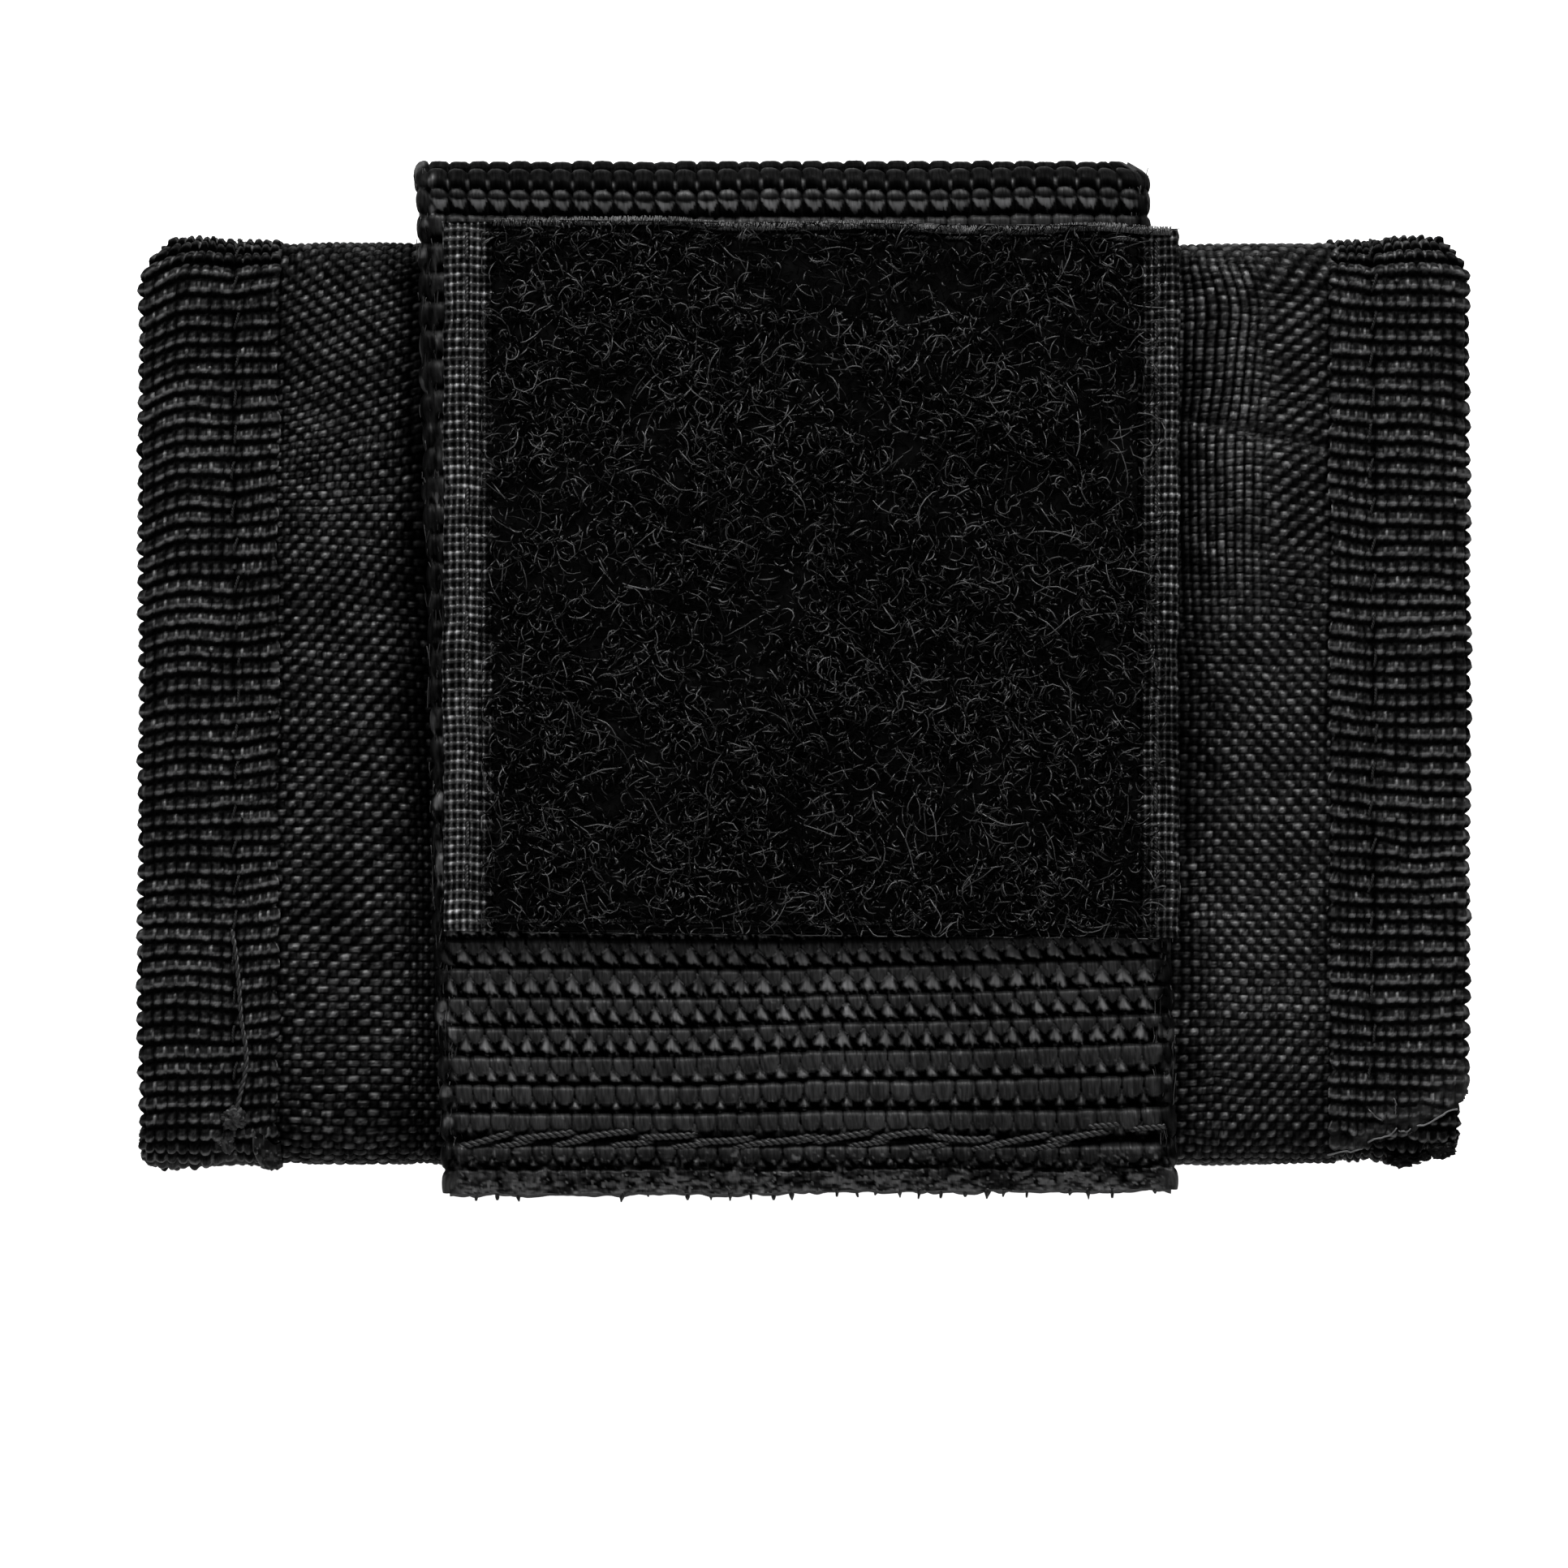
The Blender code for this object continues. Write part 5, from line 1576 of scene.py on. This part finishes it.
def panel_stitches():
    """The panel's stitch line, mostly buried in the pile."""
    left, right = PANEL_LEFT + 1.6, PANEL_RIGHT - 1.6
    low, high = PANEL_BOTTOM + 0.8, PANEL_TOP - 0.8
    corners = np.array([(left, low), (right, low), (right, high), (left, high), (left, low)])
    reach = np.concatenate([[0], np.cumsum(np.linalg.norm(np.diff(corners, axis=0), axis=1))])

    def line(station):
        x, y = (np.interp(station, reach, places) for places in corners.T)
        level = np.searchsorted(reach, station, side="right") % 2 == 1
        across = np.where(level[:, None], Y_AXIS, X_AXIS)
        return stack(x, panel_y(x, y), PANEL_Z + 0.62), across, Z_AXIS

    stitches("loop_panel_stitches", line, reach[-1], pitch=2.9, radius=0.12, duty=0.75,
             seed=21, sink=0.5, wander=0.03, replaces="loop_panel_thread")


def tab_stitches():
    low, high = cad("pull_tab_thread")
    x, _, z = (low + high) / 2
    line = straight(lambda station: (x - 0.02, low[1] + station, z), Z_AXIS, X_AXIS)
    stitches("tab_stitches", line, high[1] - low[1], pitch=2.9, radius=0.13, duty=0.86,
             seed=31, sink=0.5, wander=0.03, body="pull_tab", replaces="pull_tab_thread")


def bartack(name, node, x):
    """A zigzag of two-ply thread, over a row of straight stitches."""
    count, half_wide, half_long, ply = 52, 0.55, 20, 0.05
    turns = np.arange(count + 1)
    along = np.linspace(0, count, count * 9 + 1)
    zigzag = np.interp(along, turns, x + np.where(turns % 2, half_wide, -half_wide))
    y = -half_long + 2 * half_long * along / count
    paths = []
    for start in (0, math.pi):
        phase = along * 2.4 * math.pi + start
        z = PLATE_TOP + 0.13 + ply * np.sin(phase)
        paths.append(stack(zigzag, y + ply * np.cos(phase), z))
    paths.append(stack(x + ply * np.sin(along), y, PLATE_TOP + 0.07))
    tubes(name, paths, 0.085, "stitch_thread", sides=6, body="folded_tourniquet",
          replaces=node)


# ------------------------------------------------------------ inner pieces
def webbing_strip(name, path, half, thick, stations, across, plane="xz", seed=701,
                  body="folded_tourniquet", replaces=None, **weave):
    """Woven webbing along a path in one plane, with its cut ends melted shut."""
    _, at = resample(path)
    along = stations[:, None]
    here, normal = at(along)
    radius, steps = thick / 2, 6
    line = spans((-half + radius, half - radius, across))
    count = len(line)
    width, out_x, out_n, face = strip_section(line, half - radius, steps)
    width = (width + radius * out_x)[None]
    edge = face == 0
    height, shade = herringbone(width, along + 400 * (face < 0), seed, **weave)
    wave = noise(width, along, seed + 7, 5.0) * 0.03
    off = radius * out_n + face * (height - weave.get("height", 0.15))
    off = off + np.abs(face) * np.minimum(wave, 0)
    # darker cords along both sides, and ticks on the edges
    shade = shade * (1 - 0.3 * bell((half - np.abs(width)) - 0.9, 0.45) * ~edge)
    tick = 0.35 * np.abs(np.sin(along * math.pi / 0.9)) ** 0.6
    wide = width + np.sign(width) * edge * (tick * 0.25 - 0.08)
    first, z = (here[..., k] + normal[..., k] * off for k in (0, 1))
    points = stack(first, wide, z) if plane == "xz" else stack(wide, first, z)
    shade = np.where(edge, 0.3 + tick, shade)
    grid(name, points, "webbing_cloth", (width, along), shade, body=body,
         close_v=True, flip=inside_out(points), replaces=replaces)
    for label, row, inner in (
        ("start", points[0], points[1]),
        ("finish", points[-1], points[-2]),
    ):
        top, low = row[:count], row[count + steps - 1 : 2 * count + steps - 1][::-1]
        way = unit((row - inner).mean(0))
        part = np.linspace(0, 1, 7)[:, None, None]
        bulge = 0.10 + 0.05 * noise(np.arange(count) * across, 0, seed + 9, 0.8)
        sheet = top + (low - top) * part
        sheet = sheet + way * np.sin(part * math.pi) * bulge[None, :, None]
        place, z = sheet[..., 0] + sheet[..., 1], sheet[..., 2]
        shade = 0.35 + 0.5 * patches(place, z * 2, seed + 8, 0.4, -0.3, 0.8)
        grid(f"{name}_{label}", sheet, "webbing_cloth", (place, z), shade,
             body=body, flip=turned_from(sheet, way))


def folded_strap():
    """The strap runs in from the mouth and lies to and fro in seven layers."""
    layers, bend, half = 7, 0.5, 41.5
    z = STRAP_LOW + 0.4
    path = [(half + 1.4, z)]
    done = 2 * half + 1.4
    ranges = [(0.0, done, 0.40)]
    for layer in range(layers):
        sign = -1 if layer % 2 == 0 else 1
        path.append((sign * half, z + layer))
        if layer < layers - 1:
            start = 270 if sign < 0 else -90
            path += arc_points(sign * half, z + layer + bend, bend, start, 90, 13)[1:-1]
            path.append((sign * half, z + layer + 1))
            ranges.append((done, done + 1.57, 0.13))
            done += 1.57
        if layer < layers - 2:
            end = done + 2 * half
            ranges += [(done, done + 2, 0.4), (done + 2, end - 2, 2.4), (end - 2, end, 0.4)]
            done = end
    # the top layer shows through the plate's window and past its rear end
    length, _ = resample(path)
    middle = done + half
    ranges += [
        (done, done + 2, 0.4),
        (done + 2, middle - 9.5, 1.2),
        (middle - 9.5, middle + 9.5, 0.36),
        (middle + 9.5, middle + 27.5, 1.2),
        (middle + 27.5, length, 0.36),
    ]
    webbing_strip("strap_webbing", path, 25.0, 0.8, spans(*ranges), 0.48,
                  replaces="main_strap")


def tension_ribbon():
    """The ribbon rises on one side of the rod, passes over it and comes down the other."""
    reach, foot, bend = 5.35, PLATE_TOP - 0.65, 0.9
    path = [(-reach - 0.1, foot), (-reach, ROD_Z - 1.2)]
    path += arc_points(-reach + bend, ROD_Z - bend, bend, 180, 90)
    path += arc_points(reach - bend, ROD_Z - bend, bend, 90, 0)
    path += [(reach, ROD_Z - 1.2), (reach + 0.1, foot)]
    webbing_strip(
        "ribbon_webbing", path, 5.6, 0.7, spans((0, resample(path)[0], 0.15)), 0.17,
        plane="yz", seed=731, body="windlass", replaces="tension_ribbon",
        pitch_x=0.75, pitch_y=1.1, height=0.10,
    )


def buckle_anchor():
    """A loop of webbing round the buckle frame's end."""
    low, high = cad("buckle_frame")
    x, z, wall = high[0], low[2], high[2] - low[2]
    path = [(x + 1.4, STRAP_TOP + 0.45), (x - 0.4, STRAP_TOP + 0.45)]
    path += arc_points(x - 2.1, z + wall / 2, wall / 2 + 0.5, 270, 90, 24)
    path += [(x + 0.25, z + wall + 0.5), (x + 1.4, z + 1.4)]
    webbing_strip(
        "anchor_webbing", path, 24.6, 0.6, spans((0, resample(path)[0], 0.22)), 0.3,
        seed=741, replaces="buckle_anchor", pitch_x=1.1, pitch_y=1.5, height=0.12,
    )


def soft_patch(name, node, axes, corner, step, relief, round_off, material, body):
    """A flat woven patch with rounded corners filling a CAD box. axes are the numbers of its
    long, short and normal axes."""
    low, high = cad(node)
    middle = (low + high) / 2
    half_long, half_short, half_thick = (((high - low) / 2)[axis] for axis in axes)
    straight_end = half_long - corner
    along = spans(
        (-half_long, -straight_end, 0.12),
        (-straight_end, straight_end, step),
        (straight_end, half_long, 0.12),
    )[:, None]
    line = np.linspace(-1, 1, max(8, int(2 * half_short / step)))
    across, out_x, out_n, face = strip_section(line, 1, 6)
    past = np.maximum(0, np.abs(along) - half_long + corner)
    gone = corner - np.sqrt(np.maximum(0, corner**2 - past**2))
    across = across * (half_short - gone - half_thick * 0.6)
    near = ((np.abs(along) - half_long + round_off) / round_off).clip(0, 1)
    fade = np.sqrt(np.clip(1 - near**2, 0, 1))
    height, shade = relief(along, across + 300 * (face < 0))
    parts = {
        axes[0]: along,
        axes[1]: across + out_x * half_thick * 0.6 * fade,
        axes[2]: (out_n * half_thick + face * (height - height.max())) * fade,
    }
    points = stack(*(parts[axis] for axis in range(3))) + middle
    grid(name, points, material, (along, across), np.where(face == 0, 0.7, shade),
         body=body, close_v=True, flip=inside_out(points), replaces=node)


def tab_relief(x, y):
    """Ribs along the tab, with a hem folded over at its free edge."""
    height, shade = herringbone(y, x, 751, pitch_x=1.1, pitch_y=1.7, height=0.16)
    hem = bell(np.where(y > 150, y - 300, y) - 4.0, 0.30)
    return height * (1 - 0.8 * hem), shade * (1 - 0.55 * hem) + 0.25


def label_relief(x, y):
    """Fine cloth with three ruled lines."""
    height, _, shade = plain_weave(x, y, 0.42, 0.42, 0.03, 761, weft=0.5, warp=0.45)
    line = sum(bell(y - at, 0.10) for at in (-2.9, 0.0, 2.9)) * (np.abs(x) < 6.6)
    return height, (0.75 + 0.5 * shade) * (1 - 0.9 * line)


def inner_pieces():
    folded_strap()
    tension_ribbon()
    buckle_anchor()
    soft_patch("tab_webbing", "pull_tab", axes=(1, 2, 0), corner=1.6, step=0.26,
               relief=tab_relief, round_off=0.4, material="tab_cloth", body="pull_tab")
    soft_patch("label_cloth", "time_label", axes=(0, 1, 2), corner=0.35, step=0.13,
               relief=label_relief, round_off=0.1, material="label_cloth",
               body="folded_tourniquet")
    tab_stitches()
    bartack("bartack_threads_rear", "bartack_plate_rear", x=-25.8)
    bartack("bartack_threads_front", "bartack_plate_front", x=26.2)


def rigid_pieces():
    """Rigid pieces keep their solids and are only repainted."""
    for node, material in (
        ("base_plate", "moulded_nylon"),
        ("windlass_rod", "anodised_alloy"),
        ("rod_keeper", "moulded_nylon"),
        ("buckle_frame", "moulded_nylon"),
        ("buckle_bar", "anodised_alloy"),
    ):
        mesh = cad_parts[node].data
        mesh.materials.clear()
        mesh.materials.append(MATERIALS[material])


# ------------------------------------------------------------------- stage
LIGHTS = (
    # name, location, size, power
    ("key_top", (0.0, 0.60, 0.36), (0.9, 0.26), 6.6),
    ("key_bottom", (0.1, -0.60, 0.34), (0.9, 0.30), 1.5),
    ("side_left", (-0.6, 0.0, 0.35), (0.3, 0.7), 1.0),
    ("side_right", (0.6, 0.0, 0.35), (0.3, 0.7), 1.0),
)
LIGHT_TARGET = Vector((0, 0, 0.01))
LENS, SENSOR = 200, 36
VIEW_WIDTH = 108.539326 * MM  # what the camera sees across, at the height it is framed for
VIEW_MIDDLE = (-1.4 * MM, -5.6 * MM, 24.6 * MM)


def make_floor():
    """A white floor that also glows a little for the camera alone."""
    half = 3
    corners = [(-half, -half, 0), (half, -half, 0), (half, half, 0), (-half, half, 0)]
    mesh = bpy.data.meshes.new("floor")
    mesh.from_pydata(corners, [], [(0, 1, 2, 3)])
    floor = bpy.data.objects.new("floor", mesh)
    scene.collection.objects.link(floor)
    floor.location.z = -0.0004
    mat = Mat("floor_white")
    seen = mat.add("LightPath", output="Is Camera Ray")
    mat.surface({
        "Base Color": (0.82, 0.82, 0.82, 1),
        "Roughness": 0.9,
        "Specular IOR Level": 0.1,
        "Emission Color": (1, 1, 1, 1),
        "Emission Strength": mat.calc("MULTIPLY", seen, 0.9),
    })
    mesh.materials.append(MATERIALS["floor_white"])
    floor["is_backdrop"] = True


def make_lights():
    world = bpy.data.worlds.new("studio")
    scene.world = world
    world.use_nodes = True
    background = world.node_tree.nodes["Background"]
    background.inputs["Color"].default_value = (1, 1, 1, 1)
    background.inputs["Strength"].default_value = 0.05
    for name, location, size, power in LIGHTS:
        light = bpy.data.lights.new(name, "AREA")
        light.shape = "RECTANGLE"
        light.size, light.size_y = size
        light.energy = power
        obj = bpy.data.objects.new(name, light)
        scene.collection.objects.link(obj)
        obj.location = location
        way = LIGHT_TARGET - Vector(location)
        obj.rotation_euler = way.to_track_quat("-Z", "Y").to_euler()


def make_camera():
    """The camera looks straight down on the front."""
    data = bpy.data.cameras.new("camera")
    data.sensor_width = SENSOR
    data.lens = LENS
    data.clip_start, data.clip_end = 0.05, 10
    camera = bpy.data.objects.new("camera", data)
    scene.collection.objects.link(camera)
    x, y, z = VIEW_MIDDLE
    camera.location = (x, y, z + VIEW_WIDTH * LENS / SENSOR)
    camera.rotation_euler = (0, 0, 0)
    scene.camera = camera
    scene.view_settings.view_transform = "Standard"
    scene.view_settings.look = "None"


make_materials()
sleeve()
lining()
tapes()
band()
panel()
band_stitches()
sleeve_stitches()
tape_stitches("left", -1)
tape_stitches("right", 1)
panel_stitches()
inner_pieces()
rigid_pieces()
make_floor()
make_lights()
make_camera()

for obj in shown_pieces():
    obj.data.name = obj.name
